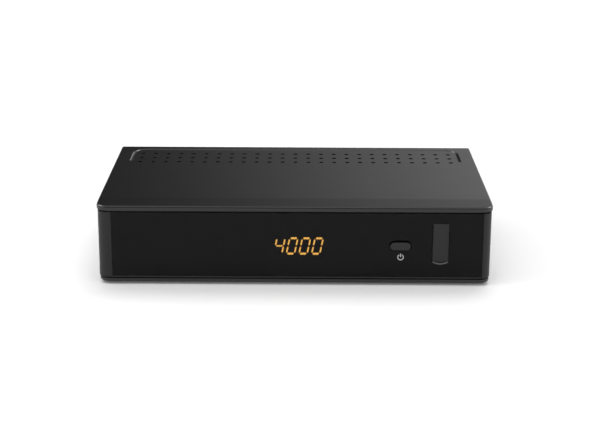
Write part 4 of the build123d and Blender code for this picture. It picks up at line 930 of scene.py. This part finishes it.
def make_rocker():
    """Rocker with eased edges, and the bar and ring printed on its two halves."""
    eased("rocker_key", "rocker", 0.25, "rocker", 3)
    low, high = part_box("rocker_switch_body")
    key_low, key_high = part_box("rocker")
    place = Vector(((low.x + high.x) / 2, high.y - 3.4 * MM, (key_low.z + key_high.z) / 2))
    tilt, crown, middle = radians(9), 3 * MM, 4.3 * MM
    proud, line, half, inner = 0.04 * MM, 0.55 * MM, 1.7 * MM, 1.15 * MM
    outer = inner + line
    tall = box_mesh((-line / 2, -proud, -half), (line / 2, proud, half))
    ring = [(inner, -proud), (inner, proud), (outer, proud), (outer, -proud)]
    marks = (("rocker_mark_on", tall, 1), ("rocker_mark_off", lathe(ring, (0, 0, 0), 1, 40), -1))
    for name, mesh, side in marks:
        lean = Matrix.Rotation(side * tilt, 4, "Z")
        out = Matrix.Translation((side * middle, crown + middle * tan(tilt), 0))
        turned = Matrix.Translation(place) @ Matrix.Rotation(-tilt, 4, "Z") @ out @ lean
        bmesh.ops.transform(mesh, matrix=turned, verts=mesh.verts)
        piece(name, mesh, "rocker", "printed_ink", flat=True)


# ---- Feet and screws ----
def make_feet():
    """Round pads with a ring pressed into the sole."""
    shape = [(0, 0.3), (3.2, 0.3), (3.6, 0.0), (5.2, 0.0)]  # radius and height, in millimetres
    shape += [(5.7, 0.15), (6.0, 0.6), (6.0, 1.9), (0, 1.9)]
    mesh = bmesh.new()
    for low, high in solids_of("feet"):
        middle = (low + high) / 2
        join(mesh, lathe(scaled(shape, MM, low.z), middle))
    piece("foot_pads", mesh, "housing", "foot_rubber", "feet")


def screw_mesh(head, height, shank, length):
    """Domed screw with a cross recess, head down, its seat at height 0; in millimetres."""
    dome = [(0, -1), (0.45, -1), (0.75, -0.86), (0.93, -0.6), (1, -0.3), (1, 0)]
    shape = scaled(dome, head, 0, height)
    shape += [(shank, 0), (shank, length - 0.6), (shank * 0.6, length), (0, length)]
    mesh = lathe(scaled(shape, MM, 0), (0, 0, 0), steps=32)
    arm, half = head * 0.55 * MM, head * 0.1 * MM
    bottom, floor = -2 * height * MM, -0.6 * height * MM
    for x, y in ((arm, half), (half, arm)):
        mesh = cut(mesh, box_mesh((-x, -y, bottom), (x, y, floor)))
    return mesh


def make_screws():
    """Screws of the case from below and of the rear panel from behind, and those of the boards."""
    kinds = (
        ("case_screw_set", "case_screws", (2.8, 2.0, 1.5, 12.0), 0, 2),
        ("panel_screw_set", "rear_panel_screws", (2.8, 2.0, 1.5, 6.0), 90, 1),
        ("board_screw_set", "board_screws", (2.6, 1.8, 1.5, 6.0), 180, 2),
        ("front_board_screw_set", "front_board_screws", (1.9, 1.2, 1.0, 5.0), 90, 1),
    )
    for name, node, measures, turn, axis in kinds:
        mesh, head = bmesh.new(), measures[1] * MM
        for low, high in solids_of(node):
            place = (low + high) / 2
            place[axis] = low[axis] + head if turn == 0 else high[axis] - head
            one = screw_mesh(*measures)
            placed = Matrix.Translation(place) @ Matrix.Rotation(radians(turn), 4, "X")
            bmesh.ops.transform(one, matrix=placed, verts=one.verts)
            join(mesh, one)
        piece(name, mesh, "housing", SLOT_OF[node], node)


# ---- Rear panel and its sockets ----
def middle_of(node):
    """Middle of a node's box."""
    low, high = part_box(node)
    return (low + high) / 2


def cutout(node):
    """Block-shaped cutter for a socket's hole in the rear panel."""
    low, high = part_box(node)
    panel_low, panel_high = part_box("rear_panel")
    gap = 0.3 * MM
    start = (low.x - gap, panel_low.y - MM, low.z - gap)
    return box_mesh(start, (high.x + gap, panel_high.y + MM, high.z + gap))


def make_panel():
    """Sheet with its stamped holes; the edges are just broken, as after tumbling."""
    low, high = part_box("rear_panel")
    mesh = box_mesh(low, high)
    for node in ("network_socket_shell", "video_socket_shell", "av_socket", "rocker_switch_body"):
        mesh = cut(mesh, cutout(node))
    rounds = [(middle_of(node), 5.02) for node in ("dish_input", "dish_loop_output")]
    rounds += [(middle_of("audio_jack_shell"), 5.3), (middle_of("dc_inlet_pin"), 4.3)]
    rounds += [((corners[0] + corners[1]) / 2, 1.7) for corners in solids_of("rear_panel_screws")]
    for place, radius in rounds:
        mesh = cut(mesh, rod(radius * MM, low.y - MM, high.y + MM, place, 1))
    round_edges(mesh, edges_at(mesh, 1, high.y), 0.12 * MM, 2)
    piece("panel_sheet", mesh, "housing", "panel_steel", "rear_panel")


def turned_piece(name, node, profile, slot, steps=48):
    """Housing piece turned along Y about the middle of the node that it replaces."""
    piece(name, lathe(profile, middle_of(node), 1, steps), "housing", slot, node)


def make_barrel(node):
    """Threaded barrel of an aerial connector: turned ridges from its nut to its open end."""
    low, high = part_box(node)
    start, tip = low.y / MM, high.y / MM
    nut_end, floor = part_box("connector_nuts")[1].y / MM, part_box("rear_panel")[1].y / MM
    crest, root, bore, pitch = 4.72, 4.32, 3.4, 0.79
    neck, ease = root - 0.1, 0.2
    shape = [(0, start), (crest, start), (crest, nut_end), (neck, nut_end + 0.1)]
    shape += [(neck, nut_end + 0.6)]
    for turn in range(int((tip - nut_end - 1.2) / pitch)):
        rise = nut_end + 0.75 + turn * pitch
        shape += [(root, rise), (crest, rise + 0.35 * pitch)]
        shape += [(crest, rise + 0.5 * pitch), (root, rise + 0.85 * pitch)]
    shape += [(root, tip - 0.15), (root - ease, tip), (bore + ease, tip), (bore, tip - ease)]
    shape += [(bore, floor), (0, floor)]
    turned_piece(node + "_barrel", node, scaled(shape, MM, 0), "nickel_plate", 64)


def hexagon_nut(middle, start, end, flats, hole):
    """Hexagon nut along Y with its corners turned off at both faces."""
    corner, edge, land = flats / cos(pi / 6), 0.45 * MM, flats * 0.98
    mesh = bmesh.new()
    bmesh.ops.create_circle(mesh, cap_ends=True, radius=corner, segments=6)
    extrude(mesh, mesh.faces[:], (0, 0, end - start))
    stand = Matrix.Translation((middle.x, end, middle.z)) @ Matrix.Rotation(pi / 2, 4, "X")
    bmesh.ops.transform(mesh, matrix=stand, verts=mesh.verts)
    bmesh.ops.recalc_face_normals(mesh, faces=mesh.faces)
    turned = [(0, start), (land, start), (corner, start + edge)]
    turned += [(corner, end - edge), (land, end), (0, end)]
    mesh = cut(mesh, lathe(turned, middle, 1), "INTERSECT")
    return cut(mesh, rod(hole, start - MM, end + MM, middle, 1))


def make_aerial():
    """Threaded barrels with their nuts, washers and insulators."""
    for node in ("dish_input", "dish_loop_output"):
        make_barrel(node)
    washers, nuts, cores = bmesh.new(), bmesh.new(), bmesh.new()
    hole, outer, ease = 4.77 * MM, 6.4 * MM, 0.15 * MM
    for low, high in solids_of("connector_washers"):
        middle = (low + high) / 2
        profile = [(hole, low.y), (outer, low.y), (outer, high.y - ease), (outer - ease, high.y)]
        profile += [(hole + ease, high.y), (hole, high.y - ease)]
        join(washers, lathe(profile, middle, 1))
    for low, high in solids_of("connector_nuts"):
        flats = min(high.x - low.x, high.z - low.z) / 2
        join(nuts, hexagon_nut((low + high) / 2, low.y, high.y, flats, hole))
    outer, bore, ease, mouth = 3.36 * MM, 0.6 * MM, 0.2 * MM, 0.5 * MM
    for low, high in solids_of("connector_insulators"):
        middle = (low + high) / 2
        profile = cored(outer, bore, low.y, low.y + 3 * MM, high.y, ease, mouth)
        join(cores, lathe(profile, middle, 1))
    piece("aerial_washers", washers, "housing", "bright_steel", "connector_washers")
    piece("aerial_nuts", nuts, "housing", "nickel_plate", "connector_nuts")
    piece("aerial_insulators", cores, "housing", "white_insulator", "connector_insulators")


def moulded_block(node, middle, nose, ease):
    """Socket body behind the rear panel, with a round nose that reaches through it."""
    low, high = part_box(node)
    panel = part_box("rear_panel")[0].y
    mesh = box_mesh(low, (high.x, panel - 0.05 * MM, high.z))
    round_edges(mesh, folds(mesh), 0.3 * MM, 2)
    return cut(mesh, rod(nose, panel - MM, high.y, middle, 1, ease=ease), "UNION")


def make_audio():
    """Gilt barrel of the digital audio jack, its insulator and the moulded block behind it."""
    low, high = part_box("audio_jack_shell")
    outer, inner, edge, step = 4.15 * MM, 3.65 * MM, 0.25 * MM, 0.1 * MM
    waist = outer - step
    profile = [(inner, low.y), (outer, low.y), (outer, high.y - 1.2 * MM), (waist, high.y - MM)]
    profile += [(waist, high.y - edge), (outer - edge, high.y)]
    profile += [(inner + step, high.y), (inner, high.y - step)]
    turned_piece("audio_barrel", "audio_jack_shell", profile, "gold_plate", 64)
    low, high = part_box("audio_jack_core")
    middle = middle_of("audio_jack_shell")
    profile = cored(3.6 * MM, 1.6 * MM, low.y, low.y + MM, high.y, edge, edge)
    core = lathe(profile, middle, 1)
    piece("audio_core", core, "housing", "orange_insulator", "audio_jack_core")
    block = moulded_block("audio_jack_body", middle, 5 * MM, 0.3 * MM)
    piece("audio_block", block, "housing", "orange_insulator", "audio_jack_body")


def make_inlet():
    """Power inlet: moulded block, round mouth and centre pin."""
    mouth_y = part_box("dc_inlet_body")[1].y
    pin_low, pin_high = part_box("dc_inlet_pin")
    middle = middle_of("dc_inlet_pin")
    bore, flare = 3.1 * MM, 0.3 * MM
    block = moulded_block("dc_inlet_body", middle, 4 * MM, 0.2 * MM)
    profile = [(0, pin_low.y), (bore, pin_low.y), (bore, mouth_y - flare), (bore + flare, mouth_y)]
    profile += [(bore + flare, mouth_y + MM), (0, mouth_y + MM)]
    block = cut(block, lathe(profile, middle, 1))
    piece("inlet_block", block, "housing", "black_insulator", "dc_inlet_body")
    radius = (pin_high.x - pin_low.x) / 2
    tip = scaled([(1, -1), (0.92, -0.6), (0.7, -0.25), (0.35, 0), (0, 0)], radius, pin_high.y)
    profile = [(0, pin_low.y), (radius, pin_low.y), *tip]
    turned_piece("inlet_pin", "dc_inlet_pin", profile, "nickel_plate", 32)


def make_sockets():
    """Network, digital video and audio-video sockets and the rocker's body, edges eased."""
    eased("network_shell", "network_socket_shell", 0.15)
    eased("network_insert", "network_socket_insert", 0.2)
    eased("video_shell", "video_socket_shell", 0.12)
    eased("video_tongue", "video_socket_tongue", 0.12)
    eased("av_housing", "av_socket", 0.2)
    eased("av_blades", "av_contacts", 0.08)
    eased("rocker_body", "rocker_switch_body", 0.2)


# ---- Boards ----
def make_capacitors():
    """Sleeved cans with a crimped ring near the board and a sunken top inside a rim."""
    radius = 4 * MM
    lower = [(0, 0), (0.92, 0), (1, 0.35), (1, 1.1), (0.93, 1.5), (1, 1.9)]
    upper = [(1, -0.5), (0.9, -0.12), (0.86, 0.0), (0.8, -0.15), (0, -0.15)]
    mesh = bmesh.new()
    for low, high in solids_of("capacitors"):
        middle = (low + high) / 2
        profile = scaled(lower, radius, low.z) + scaled(upper, radius, high.z)
        join(mesh, lathe(profile, middle, steps=32))
    piece("capacitor_cans", mesh, "housing", "capacitor_sleeve", "capacitors")


def make_board_parts():
    """Chips, coils, cans and headers on the boards, edges eased."""
    eases = {
        "processor": 0.15, "memory_chips": 0.1, "flash_chip": 0.1, "regulators": 0.15,
        "power_coils": 0.4, "crystal": 0.3, "heat_sink": 0.12, "tuner_can": 0.2,
        "card_reader_base": 0.2, "card_reader_cover": 0.08, "ribbon_header_front": 0.2,
        "ribbon_header_main": 0.2, "main_board": 0.1, "front_board": 0.1, "display_module": 0.15,
        "infrared_receiver": 0.2, "front_data_shell": 0.08, "front_data_tongue": 0.1,
    }
    for node, radius in eases.items():
        eased(node + "_eased", node, radius)


def dress_nodes():
    """Gives every solid that stays in sight its finish."""
    for name, node in NODES.items():
        node.data.materials.clear()
        node.data.materials.append(FINISHES[SLOT_OF[name]])


# ---- Studio ----
CAMERA_PLACE = (3.18, -850.97, 281.56)  # millimetres
CAMERA_TURN = (72.7513, -0.2214, 0.2847)  # degrees
CAMERA_LENS = 90.43  # millimetres, on a sensor 36 mm wide
AIR_LIGHT = 0.7  # share of white by which the air lights matt surfaces
FLOOR_GLOW = 0.08  # share of white that lifts the paper to the background's level


def make_floor():
    """Pale paper far wider than the view; it glows a little where it is seen, to come out white."""
    mesh = bmesh.new()
    bmesh.ops.create_grid(mesh, x_segments=1, y_segments=1, size=8)
    floor = new_object("studio_floor", mesh_data("studio_floor", mesh))
    material = bpy.data.materials.new("studio_paper")
    material.use_nodes = True
    tree = material.node_tree
    tree.nodes.clear()
    path = add(tree, "ShaderNodeLightPath")
    rays = {0: path.outputs["Is Camera Ray"], 1: path.outputs["Is Glossy Ray"]}
    seen = add(tree, "ShaderNodeMath", rays, operation="MAXIMUM")
    rays = {0: seen.outputs[0], 1: path.outputs["Is Transmission Ray"]}
    seen = add(tree, "ShaderNodeMath", rays, operation="MAXIMUM")
    glow = add(tree, "ShaderNodeMath", {0: seen.outputs[0], 1: FLOOR_GLOW}, operation="MULTIPLY")
    paper = add(tree, "ShaderNodeBsdfDiffuse", {"Color": opaque(colours().floor)})
    lit = {"Color": (1, 1, 1, 1), "Strength": glow.outputs[0]}
    light = add(tree, "ShaderNodeEmission", lit)
    both = add(tree, "ShaderNodeAddShader", {0: paper.outputs[0], 1: light.outputs[0]})
    add(tree, "ShaderNodeOutputMaterial", {"Surface": both.outputs[0]})
    floor.data.materials.append(material)


def make_world():
    """Air that is white to the eye, even as a light, and darker on the left in reflections."""
    world = bpy.data.worlds.new("studio_air")
    bpy.context.scene.world = world
    world.use_nodes = True
    tree = world.node_tree
    tree.nodes.clear()
    path = add(tree, "ShaderNodeLightPath")
    place = add(tree, "ShaderNodeTexCoord")
    axes = add(tree, "ShaderNodeSeparateXYZ", {0: place.outputs["Generated"]})
    ramps = (
        ("X", -0.16, 0.4, 0.015, 1.19),  # dark on the left, light on the right
        ("Z", 0.3, 0.55, 1.0, 0.3),  # fading above the height of a low reflection
        ("Z", 0.6, 0.85, 0.0, 1.0),  # a soft patch overhead
        ("X", -0.45, -0.75, 0.0, 0.9),  # a strip far out on the left
    )
    spans = []
    for axis, start, end, first, last in ramps:
        ends = {"From Min": start, "From Max": end, "To Min": first, "To Max": last}
        ends["Value"] = axes.outputs[axis]
        ramp = add(tree, "ShaderNodeMapRange", ends, interpolation_type="SMOOTHSTEP")
        spans.append(ramp.outputs[0])
    low = add(tree, "ShaderNodeMath", dict(enumerate(spans[:3])), operation="MULTIPLY_ADD")
    gloss = add(tree, "ShaderNodeMath", {0: low.outputs[0], 1: spans[3]}, operation="ADD")
    lighting = {0: path.outputs["Is Glossy Ray"], 2: AIR_LIGHT, 3: gloss.outputs[0]}
    even = add(tree, "ShaderNodeMix", lighting)
    rays = {0: path.outputs["Is Camera Ray"], 1: path.outputs["Is Transmission Ray"]}
    seen = add(tree, "ShaderNodeMath", rays, operation="MAXIMUM")
    level = add(tree, "ShaderNodeMix", {0: seen.outputs[0], 2: even.outputs[0], 3: 1.0})
    shown = {"Color": (1, 1, 1, 1), "Strength": level.outputs[0]}
    air = add(tree, "ShaderNodeBackground", shown)
    add(tree, "ShaderNodeOutputWorld", {"Surface": air.outputs[0]})


def make_lamp(name, place, size, power):
    """Rectangular lamp aimed at the origin and out of the camera's sight."""
    data = bpy.data.lights.new(name, "AREA")
    data.shape = "RECTANGLE"
    data.size, data.size_y = size
    data.energy = power
    lamp = new_object(name, data)
    lamp.location = place
    lamp.rotation_euler = (-Vector(place)).to_track_quat("-Z", "Y").to_euler()
    lamp.visible_camera = False
    return lamp


def make_sun(name, place, power):
    """Even light from one direction, softened as by a large screen; it leaves no highlight."""
    data = bpy.data.lights.new(name, "SUN")
    data.energy = power
    data.angle = radians(35)
    sun = new_object(name, data)
    sun.location = place
    sun.rotation_euler = Vector(place).to_track_quat("Z", "Y").to_euler()
    sun.visible_glossy = False


def make_camera():
    """Camera in front of the receiver and a little above it, with a long lens."""
    data = bpy.data.cameras.new("studio_camera")
    data.sensor_width = 36
    data.lens = CAMERA_LENS
    data.clip_end = 100
    camera = new_object("studio_camera", data)
    camera.location = [place * MM for place in CAMERA_PLACE]
    camera.rotation_euler = [radians(turn) for turn in CAMERA_TURN]
    bpy.context.scene.camera = camera


# ---- Operators ----
class RECEIVER_OT_finishes(bpy.types.Operator):
    """Make the finishes and give every solid in sight its own"""

    bl_idname = "receiver.finishes"
    bl_label = "Finishes"

    def execute(self, context):
        FINISHES.update(make_finishes())
        dress_nodes()
        return {"FINISHED"}


class RECEIVER_OT_lid(bpy.types.Operator):
    """Build the lid with its rounded edge, vents, groove, tabs and bosses"""

    bl_idname = "receiver.lid"
    bl_label = "Lid"

    def execute(self, context):
        make_lid()
        return {"FINISHED"}


class RECEIVER_OT_base(bpy.types.Operator):
    """Build the base tray with its rounded rim"""

    bl_idname = "receiver.base"
    bl_label = "Base"

    def execute(self, context):
        make_base()
        return {"FINISHED"}


class RECEIVER_OT_front(bpy.types.Operator):
    """Build the front frame with its rounded edges"""

    bl_idname = "receiver.front"
    bl_label = "Front frame"

    def execute(self, context):
        make_front()
        return {"FINISHED"}


class RECEIVER_OT_window(bpy.types.Operator):
    """Build the smoked window with its openings and the fingertip rest"""

    bl_idname = "receiver.window"
    bl_label = "Window"

    def execute(self, context):
        make_window()
        make_port_scoop()
        return {"FINISHED"}


class RECEIVER_OT_mark(bpy.types.Operator):
    """Print the power mark under the button"""

    bl_idname = "receiver.mark"
    bl_label = "Power mark"

    def execute(self, context):
        make_power_mark()
        return {"FINISHED"}


class RECEIVER_OT_digits(bpy.types.Operator):
    """Build the lit and unlit bars of the display"""

    bl_idname = "receiver.digits"
    bl_label = "Digits"

    def execute(self, context):
        make_digits()
        return {"FINISHED"}


class RECEIVER_OT_button(bpy.types.Operator):
    """Build the power button"""

    bl_idname = "receiver.button"
    bl_label = "Power button"

    def execute(self, context):
        make_button()
        return {"FINISHED"}


class RECEIVER_OT_flap(bpy.types.Operator):
    """Build the hinged flap over the port"""

    bl_idname = "receiver.flap"
    bl_label = "Port flap"

    def execute(self, context):
        make_flap()
        return {"FINISHED"}


class RECEIVER_OT_feet(bpy.types.Operator):
    """Build the four rubber feet"""

    bl_idname = "receiver.feet"
    bl_label = "Feet"

    def execute(self, context):
        make_feet()
        return {"FINISHED"}


class RECEIVER_OT_screws(bpy.types.Operator):
    """Build the screws of the case, the rear panel and the boards"""

    bl_idname = "receiver.screws"
    bl_label = "Screws"

    def execute(self, context):
        make_screws()
        return {"FINISHED"}


class RECEIVER_OT_rear_panel(bpy.types.Operator):
    """Build the rear panel with its stamped holes"""

    bl_idname = "receiver.rear_panel"
    bl_label = "Rear panel"

    def execute(self, context):
        make_panel()
        return {"FINISHED"}


class RECEIVER_OT_aerial(bpy.types.Operator):
    """Build the threaded aerial connectors"""

    bl_idname = "receiver.aerial"
    bl_label = "Aerial connectors"

    def execute(self, context):
        make_aerial()
        return {"FINISHED"}


class RECEIVER_OT_sockets(bpy.types.Operator):
    """Build the network, video and audio-video sockets and the switch body"""

    bl_idname = "receiver.sockets"
    bl_label = "Sockets"

    def execute(self, context):
        make_sockets()
        return {"FINISHED"}


class RECEIVER_OT_audio(bpy.types.Operator):
    """Build the digital audio jack"""

    bl_idname = "receiver.audio"
    bl_label = "Audio jack"

    def execute(self, context):
        make_audio()
        return {"FINISHED"}


class RECEIVER_OT_inlet(bpy.types.Operator):
    """Build the power inlet and its pin"""

    bl_idname = "receiver.inlet"
    bl_label = "Power inlet"

    def execute(self, context):
        make_inlet()
        return {"FINISHED"}


class RECEIVER_OT_rocker(bpy.types.Operator):
    """Build the power rocker and its printed marks"""

    bl_idname = "receiver.rocker"
    bl_label = "Power rocker"

    def execute(self, context):
        make_rocker()
        return {"FINISHED"}


class RECEIVER_OT_boards(bpy.types.Operator):
    """Build the parts that stand on the boards"""

    bl_idname = "receiver.boards"
    bl_label = "Boards"

    def execute(self, context):
        make_capacitors()
        make_board_parts()
        return {"FINISHED"}


class RECEIVER_OT_studio(bpy.types.Operator):
    """Set up the floor, air, lamps and camera"""

    bl_idname = "receiver.studio"
    bl_label = "Studio"

    def execute(self, context):
        make_floor()
        make_world()
        make_sun("soft_back", (0.1, 0.5, 0.95), 0.95)
        make_sun("soft_front", (-0.3, -0.25, 1.0), 0.2)
        make_lamp("soft_top", (0.0, -0.35, 1.3), (1.0, 0.5), 1.6)
        make_lamp("soft_left", (-0.9, -0.3, 0.9), (0.5, 0.5), 2.2)
        for name, x in (("edge_left", -0.9), ("edge_right", 0.9)):
            edge = make_lamp(name, (x, 0.35, 0.88), (0.5, 0.5), 9.0)
            edge.visible_diffuse = False  # a highlight along the lid's corners and nothing else
        make_camera()
        context.scene.view_settings.view_transform = "Standard"
        return {"FINISHED"}


OPERATORS = (
    RECEIVER_OT_finishes,
    RECEIVER_OT_lid,
    RECEIVER_OT_base,
    RECEIVER_OT_front,
    RECEIVER_OT_window,
    RECEIVER_OT_mark,
    RECEIVER_OT_digits,
    RECEIVER_OT_button,
    RECEIVER_OT_flap,
    RECEIVER_OT_feet,
    RECEIVER_OT_screws,
    RECEIVER_OT_rear_panel,
    RECEIVER_OT_aerial,
    RECEIVER_OT_sockets,
    RECEIVER_OT_audio,
    RECEIVER_OT_inlet,
    RECEIVER_OT_rocker,
    RECEIVER_OT_boards,
    RECEIVER_OT_studio,
)


class RECEIVER_PT_panel(bpy.types.Panel):
    """Sizes, colours and steps of the receiver, in the sidebar"""

    bl_idname = "RECEIVER_PT_panel"
    bl_label = "Receiver"
    bl_space_type = "VIEW_3D"
    bl_region_type = "UI"
    bl_category = "Receiver"

    def draw(self, context):
        for group in (context.scene.receiver_sizes, context.scene.receiver_colours):
            for name in group.__annotations__:
                self.layout.prop(group, name)
        for operator in OPERATORS:
            self.layout.operator(operator.bl_idname)


CLASSES = (ReceiverSizes, ReceiverColours, *OPERATORS, RECEIVER_PT_panel)


def register():
    for made in CLASSES:
        bpy.utils.register_class(made)
    bpy.types.Scene.receiver_sizes = PointerProperty(type=ReceiverSizes)
    bpy.types.Scene.receiver_colours = PointerProperty(type=ReceiverColours)


def unregister():
    del bpy.types.Scene.receiver_colours
    del bpy.types.Scene.receiver_sizes
    for made in reversed(CLASSES):
        bpy.utils.unregister_class(made)


def main():
    """Registers the add-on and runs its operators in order."""
    register()
    bpy.ops.receiver.finishes()
    bpy.ops.receiver.lid()
    bpy.ops.receiver.base()
    bpy.ops.receiver.front()
    bpy.ops.receiver.window()
    bpy.ops.receiver.mark()
    bpy.ops.receiver.digits()
    bpy.ops.receiver.button()
    bpy.ops.receiver.flap()
    bpy.ops.receiver.feet()
    bpy.ops.receiver.screws()
    bpy.ops.receiver.rear_panel()
    bpy.ops.receiver.aerial()
    bpy.ops.receiver.sockets()
    bpy.ops.receiver.audio()
    bpy.ops.receiver.inlet()
    bpy.ops.receiver.rocker()
    bpy.ops.receiver.boards()
    bpy.ops.receiver.studio()


if __name__ == "__main__":
    main()
